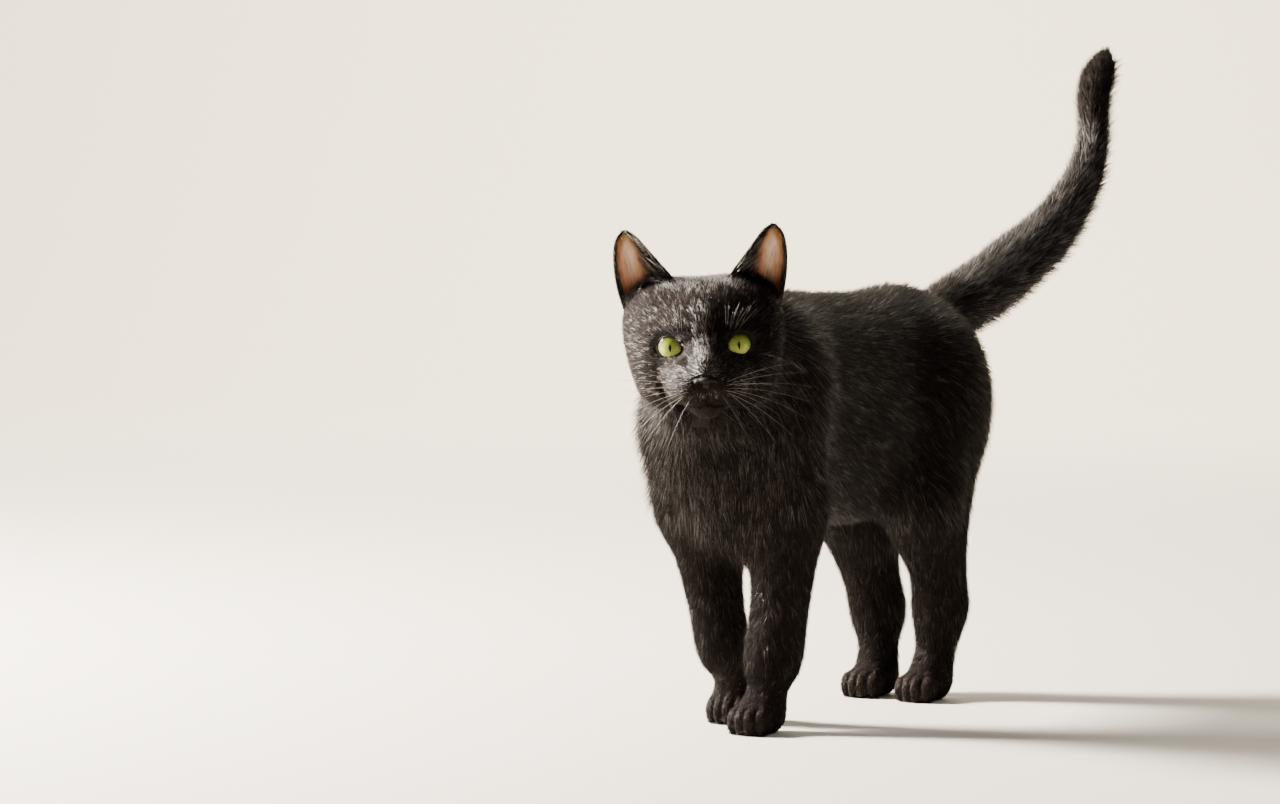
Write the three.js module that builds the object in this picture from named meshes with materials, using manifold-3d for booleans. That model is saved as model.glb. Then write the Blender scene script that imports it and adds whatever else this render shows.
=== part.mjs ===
// A young short-haired cat, life size, standing with its left forefoot ahead, its head turned to its left
// and its tail raised behind it. Millimetres, +Z up. The cat faces -Y and its left side is +X. The origin is
// on the floor, in the middle of the whole cat's extent. The figures below are written about a point that is
// easier to work from, on the floor under the middle of the trunk, and the last step moves the cat over.
//
// The body is described once, as a field: a function of a point that is negative inside the cat and grows
// with the distance outside it. It is built from rounded muscles that are blended together, turned into
// closed surfaces, and parted into the named pieces by thin flat cuts. Ears, eyes, nose and whiskers are
// set on it afterwards.
import * as THREE from 'three';
import { mergeVertices } from 'three/addons/utils/BufferGeometryUtils.js';
import { ParametricGeometry } from 'three/addons/geometries/ParametricGeometry.js';
import Module from 'manifold-3d';

const wasm = await Module();
wasm.setup();

const GAP = 0.3; // clearance kept between neighbouring pieces
const rad = THREE.MathUtils.degToRad;
const lerp = THREE.MathUtils.lerp;
const SIDES = { right: -1, left: 1 };
const MIDDLE = new THREE.Vector3(18.9, 62.5, 0); // the origin, from the floor under the middle of the trunk

// ---------------------------------------------------------------------------------------------------------
// Fields
// ---------------------------------------------------------------------------------------------------------

// A rounded mass of muscle: an ellipsoid, pitched about X by `pitch` degrees.
function mass([cx, cy, cz], [rx, ry, rz], pitch = 0) {
  const c = Math.cos(rad(pitch));
  const s = Math.sin(rad(pitch));
  return (x, y, z) => {
    const dy = y - cy;
    const dz = z - cz;
    const u = (x - cx) / rx;
    const v = (c * dy + s * dz) / ry;
    const w = (c * dz - s * dy) / rz;
    const reach = Math.hypot(u, v, w);
    return reach * (reach - 1) / (Math.hypot(u / rx, v / ry, w / rz) + 1e-9);
  };
}

// A tapered length of limb from a to b, with round ends.
function limb([ax, ay, az], [bx, by, bz], radiusA, radiusB) {
  const dx = bx - ax;
  const dy = by - ay;
  const dz = bz - az;
  const lengthSquared = dx * dx + dy * dy + dz * dz;
  return (x, y, z) => {
    const along = ((x - ax) * dx + (y - ay) * dy + (z - az) * dz) / lengthSquared;
    const t = Math.min(Math.max(along, 0), 1);
    return Math.hypot(x - ax - t * dx, y - ay - t * dy, z - az - t * dz) - lerp(radiusA, radiusB, t);
  };
}

// Joins fields with a fillet about `soft` mm wide where they meet.
function blend(soft, ...fields) {
  return (x, y, z) => {
    let joined = fields[0](x, y, z);
    for (let i = 1; i < fields.length; i++) {
      const next = fields[i](x, y, z);
      const overlap = Math.max(soft - Math.abs(joined - next), 0) / soft;
      joined = Math.min(joined, next) - overlap * overlap * soft / 4;
    }
    return joined;
  };
}

// The nearest of several fields, with no fillet.
const nearest = (...fields) => (x, y, z) => Math.min(...fields.map((field) => field(x, y, z)));

// The same shape on the right and on the left.
const bothSides = (make) => Object.values(SIDES).map(make);

// A field that is described in the frame of `matrix`.
function placed(matrix, field) {
  const m = matrix.clone().invert().elements;
  return (x, y, z) => field(
    m[0] * x + m[4] * y + m[8] * z + m[12],
    m[1] * x + m[5] * y + m[9] * z + m[13],
    m[2] * x + m[6] * y + m[10] * z + m[14],
  );
}

// ---------------------------------------------------------------------------------------------------------
// From fields and geometries to closed solids
// ---------------------------------------------------------------------------------------------------------

// A closed three.js geometry as a manifold-3d solid.
function solidOf(geometry) {
  const bare = new THREE.BufferGeometry();
  bare.setAttribute('position', geometry.getAttribute('position').clone());
  if (geometry.index) bare.setIndex(geometry.index);
  const merged = mergeVertices(bare, 1e-3);
  const index = [];
  for (let i = 0; i < merged.index.count; i += 3) {
    const [a, b, c] = merged.index.array.slice(i, i + 3);
    if (a !== b && b !== c && c !== a) index.push(a, b, c);
  }
  return new wasm.Manifold(new wasm.Mesh({
    numProp: 3,
    vertProperties: merged.getAttribute('position').array,
    triVerts: new Uint32Array(index),
  }));
}

// The surface where `field` is zero, inside the box low..high, on a grid of the given steps. Each cell
// that the surface crosses gets one vertex, moved onto the surface, and the cells are joined in quads.
function surfaceOf(field, low, high, step) {
  const count = low.map((value, i) => Math.ceil((high[i] - value) / step[i]) + 1);
  const [nx, ny, nz] = count;
  const node = (i, j, k) => i + nx * (j + ny * k);
  const values = new Float32Array(nx * ny * nz);
  for (let k = 0; k < nz; k++) {
    for (let j = 0; j < ny; j++) {
      for (let i = 0; i < nx; i++) {
        const edge = !i || !j || !k || i === nx - 1 || j === ny - 1 || k === nz - 1;
        const here = field(low[0] + i * step[0], low[1] + j * step[1], low[2] + k * step[2]);
        values[node(i, j, k)] = edge ? Math.max(here, 0.5) : here;
      }
    }
  }
  const corners = [0, 1, 2, 3, 4, 5, 6, 7].map((c) => [c & 1, (c >> 1) & 1, c >> 2]);
  const edges = [];
  for (let a = 0; a < 8; a++) {
    for (const bit of [1, 2, 4]) if (!(a & bit)) edges.push([a, a | bit]);
  }
  const vertexOf = new Int32Array(values.length).fill(-1);
  const positions = [];
  for (let k = 0; k < nz - 1; k++) {
    for (let j = 0; j < ny - 1; j++) {
      for (let i = 0; i < nx - 1; i++) {
        const at = corners.map(([a, b, c]) => values[node(i + a, j + b, k + c)]);
        if (at.every((value) => value < 0) || at.every((value) => value >= 0)) continue;
        const sum = [0, 0, 0];
        let crossings = 0;
        for (const [a, b] of edges) {
          if ((at[a] < 0) === (at[b] < 0)) continue;
          const t = at[a] / (at[a] - at[b]);
          for (let d = 0; d < 3; d++) sum[d] += lerp(corners[a][d], corners[b][d], t);
          crossings++;
        }
        vertexOf[node(i, j, k)] = positions.length / 3;
        const cell = [i, j, k].map((n, d) => low[d] + n * step[d]);
        const p = cell.map((base, d) => base + sum[d] / crossings * step[d]);
        const rim = !i || !j || !k || i === nx - 2 || j === ny - 2 || k === nz - 2;
        if (!rim) settle(field, p, cell, step);
        positions.push(...p);
      }
    }
  }
  const index = [];
  const around = [[1, 2], [2, 0], [0, 1]];
  for (let k = 0; k < nz - 1; k++) {
    for (let j = 0; j < ny - 1; j++) {
      for (let i = 0; i < nx - 1; i++) {
        const here = [i, j, k];
        const inside = values[node(i, j, k)] < 0;
        for (let d = 0; d < 3; d++) {
          const [u, v] = around[d];
          const next = here.slice();
          next[d]++;
          if (!here[u] || !here[v] || inside === (values[node(...next)] < 0)) continue;
          const ring = [[0, 0], [-1, 0], [-1, -1], [0, -1]].map(([a, b]) => {
            const cell = here.slice();
            cell[u] += a;
            cell[v] += b;
            return vertexOf[node(...cell)];
          });
          const [a, b, c, e] = inside ? ring : ring.reverse();
          if (distance(positions, a, c) < distance(positions, b, e)) index.push(a, b, c, a, c, e);
          else index.push(a, b, e, b, c, e);
        }
      }
    }
  }
  const geometry = new THREE.BufferGeometry();
  geometry.setAttribute('position', new THREE.BufferAttribute(new Float32Array(positions), 3));
  geometry.setIndex(index);
  return geometry;
}

// Moves p along the field's slope onto its surface, without letting it leave its grid cell.
function settle(field, p, cell, step) {
  const reach = 0.05;
  for (let pass = 0; pass < 3; pass++) {
    const off = field(...p);
    const slope = [0, 1, 2].map((d) => {
      const ahead = p.slice();
      const behind = p.slice();
      ahead[d] += reach;
      behind[d] -= reach;
      return (field(...ahead) - field(...behind)) / (2 * reach);
    });
    const steep = slope.reduce((sum, s) => sum + s * s, 1e-9);
    for (let d = 0; d < 3; d++) {
      const moved = p[d] - off * slope[d] / steep;
      p[d] = Math.min(Math.max(moved, cell[d] + 0.03 * step[d]), cell[d] + 0.97 * step[d]);
    }
  }
}

function distance(positions, a, b) {
  return Math.hypot(...[0, 1, 2].map((d) => positions[3 * a + d] - positions[3 * b + d]));
}

// A closed tube along `curve` with `sides` facets round it, closed to a point at each end. `radiusAt(t)` is
// its radius at the fraction t of its length.
function tubeAlong(curve, radiusAt, rings, sides) {
  const { normals, binormals } = curve.computeFrenetFrames(rings, false);
  const point = (u, v, target) => {
    const row = Math.round(v * (rings + 2)) - 1;
    const ring = Math.min(Math.max(row, 0), rings);
    const radius = ring === row ? radiusAt(ring / rings) : 0;
    const angle = 2 * Math.PI * u;
    target.copy(curve.getPointAt(ring / rings))
      .addScaledVector(normals[ring], radius * Math.cos(angle))
      .addScaledVector(binormals[ring], radius * Math.sin(angle));
  };
  return solidOf(new ParametricGeometry(point, sides, rings + 2));
}

const curveThrough = (points) => new THREE.CatmullRomCurve3(points.map((p) => new THREE.Vector3(...p)));

// The largest closed surface of a solid: drops scraps that a cut leaves.
function largest(solid) {
  return solid.decompose().sort((a, b) => b.volume() - a.volume())[0];
}

// A flat cut through `point` of `frame`. Each side keeps half of the gap. `ahead` is where `normal` points.
function cut(point, normal, frame = new THREE.Matrix4()) {
  const n = new THREE.Vector3(...normal).transformDirection(frame);
  const offset = n.dot(new THREE.Vector3(...point).applyMatrix4(frame));
  return {
    ahead: (solid) => solid.trimByPlane(n.toArray(), offset + GAP / 2),
    behind: (solid) => solid.trimByPlane(n.clone().negate().toArray(), -offset + GAP / 2),
  };
}

// ---------------------------------------------------------------------------------------------------------
// Trunk and neck
// ---------------------------------------------------------------------------------------------------------

const BACK = 247; // height of the back over the loin
const BREAST_Y = -104; // middle of the breast
const HIP_Y = 106;

const trunk = blend(
  22,
  mass([0, -42, 176], [42, 82, 63], -3), // rib cage
  mass([0, BREAST_Y, 164], [33, 31, 48], 10), // breast
  mass([0, -74, 118], [22, 30, 21]), // breastbone
  mass([0, 42, 169], [40, 74, 61], 3), // belly
  limb([0, -78, BACK - 36], [0, HIP_Y, BACK - 36], 32, 32), // back and loin
  mass([0, HIP_Y + 8, 198], [38, 48, 43], -8), // croup
  ...bothSides((side) => mass([side * 23, -84, 190], [18, 36, 46], -18)), // shoulder blades
);

const HEAD_AT = [22.4, -162.6, 225];
const neck = blend(
  14,
  limb([2, -92, 202], [HEAD_AT[0] - 4, HEAD_AT[1] + 18, HEAD_AT[2] - 8], 37, 29),
  limb([2, -110, 172], [HEAD_AT[0] - 2, HEAD_AT[1] + 10, HEAD_AT[2] - 28], 31, 25), // throat
);

// ---------------------------------------------------------------------------------------------------------
// Legs
// ---------------------------------------------------------------------------------------------------------

const TOES = [-1.5, -0.5, 0.5, 1.5];
const TOE_SPACING = 6.3;

// A paw with four toes on the floor. `heel` is the middle of the foot.
function paw([x, y], length, width) {
  const toes = TOES.map((place) => {
    const middle = 1 - Math.abs(place) / 1.5;
    return mass(
      [x + place * TOE_SPACING, y - length * (0.5 + 0.16 * middle), 7.2],
      [width * 0.17, length * 0.3, 9.3],
    );
  });
  const sole = mass([x, y, 9], [width / 2, length * 0.62, 11.5]);
  return blend(4.5, ...toes, sole);
}

function foreleg(side, { elbow, wrist, foot, girth }) {
  return blend(
    12,
    limb([side * 27, -98, 172], elbow, 23, 20), // upper arm
    limb([side * 27, -80, 200], elbow, 24, 18), // triceps
    limb(elbow, wrist, 18, girth), // forearm
    limb([elbow[0] * 0.86, elbow[1] + 12, elbow[2] - 10], wrist, 16, girth - 1), // its flexors
    limb(wrist, [foot[0], foot[1] + 5, 14], girth, 10.5), // wrist to foot
    paw(foot, 25, 24),
  );
}

function hindLeg(side, { knee, hock, foot }) {
  const hip = [side * 21, HIP_Y + 14, 190];
  return blend(
    14,
    mass([side * 25, HIP_Y + 17, 174], [24, 46, 48], 12), // thigh
    limb(hip, knee, 28, 20),
    mass([side * 13, HIP_Y + 8, 117], [14.5, 27, 31]), // inner thigh
    limb(knee, hock, 20, 12.3), // shank
    limb([side * 27, HIP_Y + 22, 138], hock, 16, 11.5), // hamstring and its tendon
    limb(hock, [foot[0], foot[1] + 10, 15], 12.8, 11.2), // metatarsus
    paw(foot, 26, 24),
  );
}

const FORELEGS = {
  left: { elbow: [31.5, -82, 124], wrist: [21.5, -80, 44], foot: [19, -92], girth: 13.2 },
  right: { elbow: [-32.5, -76, 124], wrist: [-21.5, -62, 46], foot: [-19, -48], girth: 12 },
};
const HIND_LEGS = {
  left: { knee: [29, 92, 122], hock: [23, 126, 54], foot: [20, 112] },
  right: { knee: [-29, 98, 120], hock: [-23, 134, 52], foot: [-20, 120] },
};

// ---------------------------------------------------------------------------------------------------------
// Tail
// ---------------------------------------------------------------------------------------------------------

const tailLine = curveThrough([
  [0, 142, 218],
  [2, 184, 233],
  [6.6, 220.3, 244.7],
  [10.9, 248.5, 257.9],
  [16.9, 281.1, 274],
  [21.7, 309.6, 295.6],
  [23.6, 332, 319.4],
  [23.3, 341.2, 342],
  [22, 342, 362],
  [29, 348.5, 391],
]);
const TAIL_LENGTHS = 14;
const { smoothstep } = THREE.MathUtils;
const tailRadius = (t) => lerp(18, 9.6, smoothstep(t, 0.33, 0.9)) + smoothstep(t, 0.82, 0.95);
const tail = nearest(...Array.from({ length: TAIL_LENGTHS }, (_, i) => {
  const [a, b] = [i / TAIL_LENGTHS, (i + 1) / TAIL_LENGTHS];
  const [from, to] = [a, b].map((t) => tailLine.getPointAt(t).toArray());
  return limb(from, to, tailRadius(a), tailRadius(b));
}));

// ---------------------------------------------------------------------------------------------------------
// Head, in its own frame: the nose points to -Y and the left is +X
// ---------------------------------------------------------------------------------------------------------

const HEAD_TURN = { yaw: 29.8, nod: 2, roll: -2.6 };
const headFrame = new THREE.Matrix4()
  .makeRotationFromEuler(new THREE.Euler(rad(HEAD_TURN.nod), rad(HEAD_TURN.roll), rad(HEAD_TURN.yaw), 'ZXY'))
  .setPosition(...HEAD_AT);

const EYE = { x: 16.6, y: -21.8, z: -5, radius: 9.6, turn: 12, tilt: 16 };
const LIDS = { halfWidth: 8.2, halfHeight: 6.5, thickness: 1.1, places: 14 };

const skull = blend(
  9,
  mass([0, 4, 1.5], [35, 38, 30]), // cranium
  ...bothSides((side) => mass([side * 17, 5, 9], [18, 22, 22])), // crown, under the ears
  ...bothSides((side) => mass([side * 26.5, 2, 8], [17.5, 23, 19])), // temples
  ...bothSides((side) => mass([side * 25.3, -2, -9], [17, 24, 22])), // cheeks
  ...bothSides((side) => mass([side * 18.5, 3, -27], [18, 24, 15])), // jaw muscles
  mass([0, -16, 6], [27, 16, 15]), // brow
  limb([0, -23, -2], [0, -42, -15], 11.5, 7.6), // bridge of the nose
  limb([0, -4, -28], [0, -33, -33.5], 13, 7.5), // lower jaw
  ...bothSides((side) => limb([side * 10, -25, -9], [side * 13, -35.5, -21], 6, 6)), // upper jaw
  ...bothSides((side) => mass([side * 9.3, -37.5, -27.2], [11.2, 11.5, 8])), // whisker pads
  mass([0, -37, -36], [8, 8.5, 6]), // chin
);
const nosePad = blend(
  2.5,
  mass([0, -47.5, -22.1], [5.2, 4.6, 2.7]),
  mass([0, -48, -25], [3.2, 4, 3.6]),
  ...bothSides((side) => mass([side * 4.1, -46.6, -22.9], [3.2, 4.2, 2.8])), // wings of the nostrils
);

// Each ear's two edges start inside the head and meet over its round tip.
const EAR = {
  lateral: curveThrough([
    [34, 10, 0], [39.8, 7, 11.5], [44, 4, 24], [46, 2, 36], [46.2, 2, 46], [44.6, 2.4, 53], [40.6, 3, 57],
  ]),
  medial: curveThrough([
    [13, 3, 20], [16, -2, 30], [20.4, -3, 36], [25, -1, 41.6],
    [30, 0.6, 47.8], [34.8, 2, 53.6], [40.6, 3, 57],
  ]),
  depth: 19, // how far its back stands behind its edges, at the base
  wall: [2.6, 1], // thickness at the base and at the tip
  rows: 7,
  columns: 7,
};

// A cup-shaped ear: a curved wall between its two edges, open to the front.
function earOf(side) {
  const { columns, rows } = EAR;
  const places = 2 * columns + 2;
  const point = (u, v, target) => {
    const row = Math.round(v * (rows + 2)) - 1;
    const t = row > rows ? 1 : 0.965 * Math.max(row, 0) / rows;
    const a = EAR.lateral.getPoint(t);
    const b = EAR.medial.getPoint(t);
    const across = b.clone().sub(a);
    const width = across.length();
    const droop = 0.6 * width * (1 - t);
    const back = new THREE.Vector3(0.5 * across.z, width, -0.5 * across.x - droop).normalize();
    target.copy(a).lerp(b, 0.5);
    if (row >= 0 && row <= rows) {
      const place = Math.round((side > 0 ? u : 1 - u) * places) % places;
      const behind = place <= columns;
      const s = behind ? 2 * place / columns - 1 : 1 - 2 * (place - columns - 1) / columns;
      const bulge = EAR.depth * (1 - 0.85 * t) * (1 - s * s) + (behind ? lerp(...EAR.wall, t) : 0);
      target.addScaledVector(across, s / 2).addScaledVector(back, bulge);
    }
    target.x *= side;
  };
  return solidOf(new ParametricGeometry(point, places, rows + 2));
}

// The frame of an eye: -Y looks out of it, turned a little outward, and its outer corner is tilted up.
const eyeFrame = (side) => new THREE.Matrix4()
  .makeRotationFromEuler(new THREE.Euler(0, -side * rad(EYE.tilt), side * rad(EYE.turn), 'ZXY'))
  .setPosition(side * EYE.x, EYE.y, EYE.z);

const eyeball = (side, radius) => new THREE.SphereGeometry(radius, 14, 10).applyMatrix4(eyeFrame(side));

// The almond outline between the lids, seen from in front.
const almond = Array.from({ length: LIDS.places }, (_, i) => {
  const a = 2 * Math.PI * (i + 0.5) / LIDS.places;
  const up = Math.sign(Math.sin(a)) * Math.pow(Math.abs(Math.sin(a)), 1.2);
  return [LIDS.halfWidth * Math.cos(a), LIDS.halfHeight * up];
});

// The opening between the lids, and the rim of the lids: a bead that lies on the eyeball round it.
function openingOf(side) {
  const shape = new THREE.Shape(almond.map(([u, w]) => new THREE.Vector2(u, w)));
  const prism = new THREE.ExtrudeGeometry(shape, { depth: 24, bevelEnabled: false });
  return solidOf(prism.rotateX(Math.PI / 2).translate(0, -2, 0).applyMatrix4(eyeFrame(side)));
}

function lidsOf(side) {
  const reach = EYE.radius + 0.7 * LIDS.thickness;
  const rim = almond.map(([u, w]) => new THREE.Vector3(u, -Math.sqrt(reach * reach - u * u - w * w), w));
  const curve = new THREE.CatmullRomCurve3(rim, true);
  const bead = new THREE.TubeGeometry(curve, LIDS.places, LIDS.thickness, 5, true);
  return solidOf(bead.applyMatrix4(eyeFrame(side)));
}

// The place on the front of the face at x, z, sunk by `depth`.
function onFace(x, z, depth) {
  let [outside, inside] = [-70, -10];
  for (let i = 0; i < 24; i++) {
    const middle = (outside + inside) / 2;
    if (skull(x, middle, z) > 0) outside = middle;
    else inside = middle;
  }
  return [x, inside + depth, z];
}

// The line of the mouth: down from the nose, and out under each whisker pad.
const MOUTH = [[0, -34.8], [4, -36.2], [8.5, -36], [12.5, -34.2], [16, -31]];
const lipLine = curveThrough([
  ...MOUTH.slice(1).reverse().map(([x, z]) => onFace(-x, z, 0)),
  ...MOUTH.map(([x, z]) => onFace(x, z, 0)),
]);
const philtrum = curveThrough([onFace(0, -26, 0), onFace(0, -30, 0), onFace(0, -35, 0.3)]);

// Whiskers: where each leaves its pad, and its tip.
const WHISKERS = [
  { root: [13, -23], tip: [54, -46, -14] },
  { root: [15.5, -25.5], tip: [58, -36, -26] },
  { root: [12, -27], tip: [55, -44, -38] },
  { root: [15.5, -29.5], tip: [51, -30, -50] },
  { root: [11, -31], tip: [38, -46, -60] },
];

function whiskerOf(side, { root, tip }) {
  const from = onFace(...root, 1.5);
  const [x, y, z] = from.map((value, d) => lerp(value, tip[d], 0.5));
  const curve = curveThrough([from, [x, y - 7, z + 5], tip].map(([a, b, c]) => [side * a, b, c]));
  return tubeAlong(curve, (t) => lerp(0.5, 0.25, t), 5, 3);
}

// ---------------------------------------------------------------------------------------------------------
// The whole cat
// ---------------------------------------------------------------------------------------------------------

const head = placed(headFrame, skull);
const pairOf = (legOf, places) => blend(
  8,
  ...Object.entries(SIDES).map(([name, side]) => legOf(side, places[name])),
);
const cat = nearest(
  blend(16, trunk, pairOf(foreleg, FORELEGS)),
  blend(22, trunk, pairOf(hindLeg, HIND_LEGS)),
  blend(14, trunk, tail),
  blend(16, trunk, neck, head),
);

const tailCut = (t) => cut(tailLine.getPointAt(t).toArray(), tailLine.getTangentAt(t).toArray());
const eachSide = (make) => ({ right: make(SIDES.right), left: make(SIDES.left) });
const NAPE = [[0, 12, -24], [0, -0.86, 0.51]]; // in the head's frame

const CUTS = {
  nape: cut(...NAPE, headFrame),
  collar: cut([4, -120, 194], [0.2, -0.8, 0.55]),
  midribs: cut([0, -44, 0], [0, 1, 0]),
  flank: cut([0, 58, 0], [0, 1, 0]),
  tailRoot: tailCut(0.15),
  tailMiddle: tailCut(0.46),
  tailEnd: tailCut(0.74),
  centre: cut([0, 0, 0], [1, 0, 0]),
  armpit: eachSide((side) => cut([side * 8, 0, 97], [side * -0.6, 0, 0.8])),
  groin: eachSide((side) => cut([side * 5, 0, 116], [side * -0.86, 0, 0.5])),
  wrist: cut([0, 0, 34], [0, 0, 1]),
  ankle: cut([0, 0, 25], [0, 0, 1]),
  floor: cut([0, 0, -GAP / 2], [0, 0, 1]),
};

// The part of `field` inside the box low..high, on a grid of the given steps, trimmed by its cuts.
const trimmed = (solid, trims) => trims.reduce((rest, trim) => trim(rest), solid);
const region = (field, low, high, step, trims) => trimmed(solidOf(surfaceOf(field, low, high, step)), trims);
const pawRegion = ([x, y], top, trims) => {
  return region(cat, [x - 21, y - 31, -9], [x + 21, y + 36, top], [4.2, 5, 5], trims);
};

// ---------------------------------------------------------------------------------------------------------
// The group
// ---------------------------------------------------------------------------------------------------------

const MATERIALS = {
  coat: new THREE.MeshStandardMaterial({ color: 0x17130f, roughness: 0.62, metalness: 0 }),
  ear: new THREE.MeshStandardMaterial({ color: 0x3a241a, roughness: 0.7, metalness: 0 }),
  eye: new THREE.MeshStandardMaterial({ color: 0xa9bf3f, roughness: 0.08, metalness: 0 }),
  nose: new THREE.MeshStandardMaterial({ color: 0x141012, roughness: 0.45, metalness: 0 }),
};

function meshOf(name, slot, solid) {
  const { numProp, vertProperties, triVerts } = largest(solid).getMesh();
  const positions = new Float32Array(vertProperties.length / numProp * 3);
  for (let i = 0; i < positions.length / 3; i++) {
    positions.set(vertProperties.subarray(i * numProp, i * numProp + 3), i * 3);
  }
  const geometry = new THREE.BufferGeometry();
  geometry.setAttribute('position', new THREE.BufferAttribute(positions, 3));
  geometry.setIndex(new THREE.BufferAttribute(triVerts, 1));
  geometry.computeVertexNormals();
  const mesh = new THREE.Mesh(geometry, MATERIALS[slot]);
  mesh.name = name;
  return mesh;
}

const group = new THREE.Group();

// Trunk and neck
group.add(
  meshOf('chest', 'coat', region(cat, [-64, -160, 80], [64, -20, 270], [10.5, 11, 12],
    [CUTS.midribs.behind, CUTS.collar.behind, CUTS.armpit.left.ahead, CUTS.armpit.right.ahead])),
  meshOf('belly', 'coat', region(cat, [-64, -96, 84], [64, 110, 270], [12, 24, 12],
    [CUTS.midribs.ahead, CUTS.flank.behind])),
  meshOf('rump', 'coat', region(cat, [-64, 32, 90], [64, 222, 270], [10.5, 11, 12],
    [CUTS.flank.ahead, CUTS.tailRoot.behind, CUTS.groin.left.ahead, CUTS.groin.right.ahead])),
  meshOf('neck', 'coat', region(cat, [-40, -196, 132], [76, -92, 256], [8.5, 8.5, 9],
    [CUTS.collar.ahead, CUTS.nape.behind])),
);

// Legs
for (const [name, side] of Object.entries(SIDES)) {
  const { armpit, centre, flank, groin, midribs, wrist, ankle, floor } = CUTS;
  const inner = side > 0 ? centre.ahead : centre.behind;
  const [x0, x1] = side > 0 ? [-10, 64] : [-64, 10];
  const { knee, foot: hindFoot } = HIND_LEGS[name];
  const { foot: foreFoot } = FORELEGS[name];
  const stifle = cut([knee[0], knee[1], 106], [0, -0.3, 0.95]);
  group.add(
    meshOf(`foreleg_${name}`, 'coat', region(cat, [x0, -160, 7], [x1, -24, 200], [7, 7, 13],
      [inner, midribs.behind, armpit[name].behind, wrist.ahead])),
    meshOf(`forepaw_${name}`, 'coat', pawRegion(foreFoot, 44, [floor.ahead, wrist.behind])),
    meshOf(`thigh_${name}`, 'coat', region(cat, [x0, 34, 76], [x1, 190, 250], [8.5, 10, 11],
      [inner, flank.ahead, groin[name].behind, stifle.ahead])),
    meshOf(`shank_${name}`, 'coat', region(cat, [x0, 36, 5], [x1, 190, 142], [7, 7.5, 10],
      [inner, flank.ahead, groin[name].behind, stifle.behind, ankle.ahead])),
    meshOf(`hindpaw_${name}`, 'coat', pawRegion(hindFoot, 36, [floor.ahead, ankle.behind])),
  );
}

// Tail
const wholeTail = tubeAlong(tailLine, (t) => tailRadius(t) * Math.sqrt(1 - 0.88 * Math.pow(t, 30)), 32, 12);
group.add(
  meshOf('tail_base', 'coat', trimmed(wholeTail, [CUTS.tailRoot.ahead, CUTS.tailMiddle.behind])),
  meshOf('tail_middle', 'coat', trimmed(wholeTail, [CUTS.tailMiddle.ahead, CUTS.tailEnd.behind])),
  meshOf('tail_tip', 'coat', trimmed(wholeTail, [CUTS.tailEnd.ahead])),
);

// Head, built and placed in its own frame
const headGroup = new THREE.Group();
headGroup.applyMatrix4(headFrame);
group.add(headGroup);

const nape = cut(...NAPE);
const snout = cut([0, -31, -13], [0, -0.85, -0.53]);
const catAtHead = placed(headFrame.clone().invert(), cat);
const grown = (field, by) => (x, y, z) => field(x, y, z) - by;
const without = (solid, tools) => solid.subtract(wasm.Manifold.union(tools));
const HEAD_GRID = 5.4;
const HEAD_LOW = [-54, -50, -62];
const headGrid = (field, low, high, trims) => region(field, low, high, Array(3).fill(HEAD_GRID), trims);

const roundHead = headGrid(catAtHead, HEAD_LOW, [54, 50, 46], [nape.ahead, snout.behind]);
const openHead = without(roundHead, bothSides(openingOf));
const lidded = wasm.Manifold.union([openHead, ...bothSides(lidsOf)]);
headGroup.add(meshOf('head', 'coat', without(
  lidded,
  bothSides((side) => solidOf(eyeball(side, EYE.radius + GAP))),
)));

const noseOf = (field) => region(field, [-10.5, -55, -32], [10.5, -39, -15], [1.9, 2, 1.9], []);
const NOSTRIL = [[2.6, -55, -24.2], [3.4, -51, -23.6], [6, -46.5, -22.6]];
const nostrils = bothSides((side) => {
  return tubeAlong(curveThrough(NOSTRIL.map(([x, y, z]) => [side * x, y, z])), () => 0.9, 3, 5);
});
headGroup.add(meshOf('nose', 'nose', without(noseOf(nosePad), nostrils)));

const roundMuzzle = region(catAtHead, [-34, -60, -58], [34, 8, 6], [4, 4, 4], [nape.ahead, snout.ahead]);
const bareMuzzle = without(roundMuzzle, [
  noseOf(grown(nosePad, GAP + 0.1)),
  tubeAlong(lipLine, (t) => 0.5 + 0.5 * Math.sin(Math.PI * t), 10, 4),
  tubeAlong(philtrum, () => 0.55, 2, 4),
]);
const whiskers = bothSides((side) => WHISKERS.map((whisker) => whiskerOf(side, whisker))).flat();
headGroup.add(meshOf('muzzle', 'coat', wasm.Manifold.union([bareMuzzle, ...whiskers])));

for (const [name, side] of Object.entries(SIDES)) {
  const lattice = (...cells) => cells.map((n, d) => HEAD_LOW[d] + n * HEAD_GRID);
  const [first, last] = side > 0 ? [10, 21] : [-1, 10];
  const seat = headGrid(grown(catAtHead, GAP), lattice(first, 4, 8), lattice(last, 18, 20), []);
  headGroup.add(
    meshOf(`ear_${name}`, 'ear', without(earOf(side), [seat])),
    meshOf(`eye_${name}`, 'eye', solidOf(eyeball(side, EYE.radius))),
  );
}

for (const part of group.children) part.position.sub(MIDDLE);

export default group;
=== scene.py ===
import math

import bmesh
import bpy
import numpy as np
from mathutils import Matrix, Vector, noise
from mathutils.bvhtree import BVHTree
from mathutils.kdtree import KDTree


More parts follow.
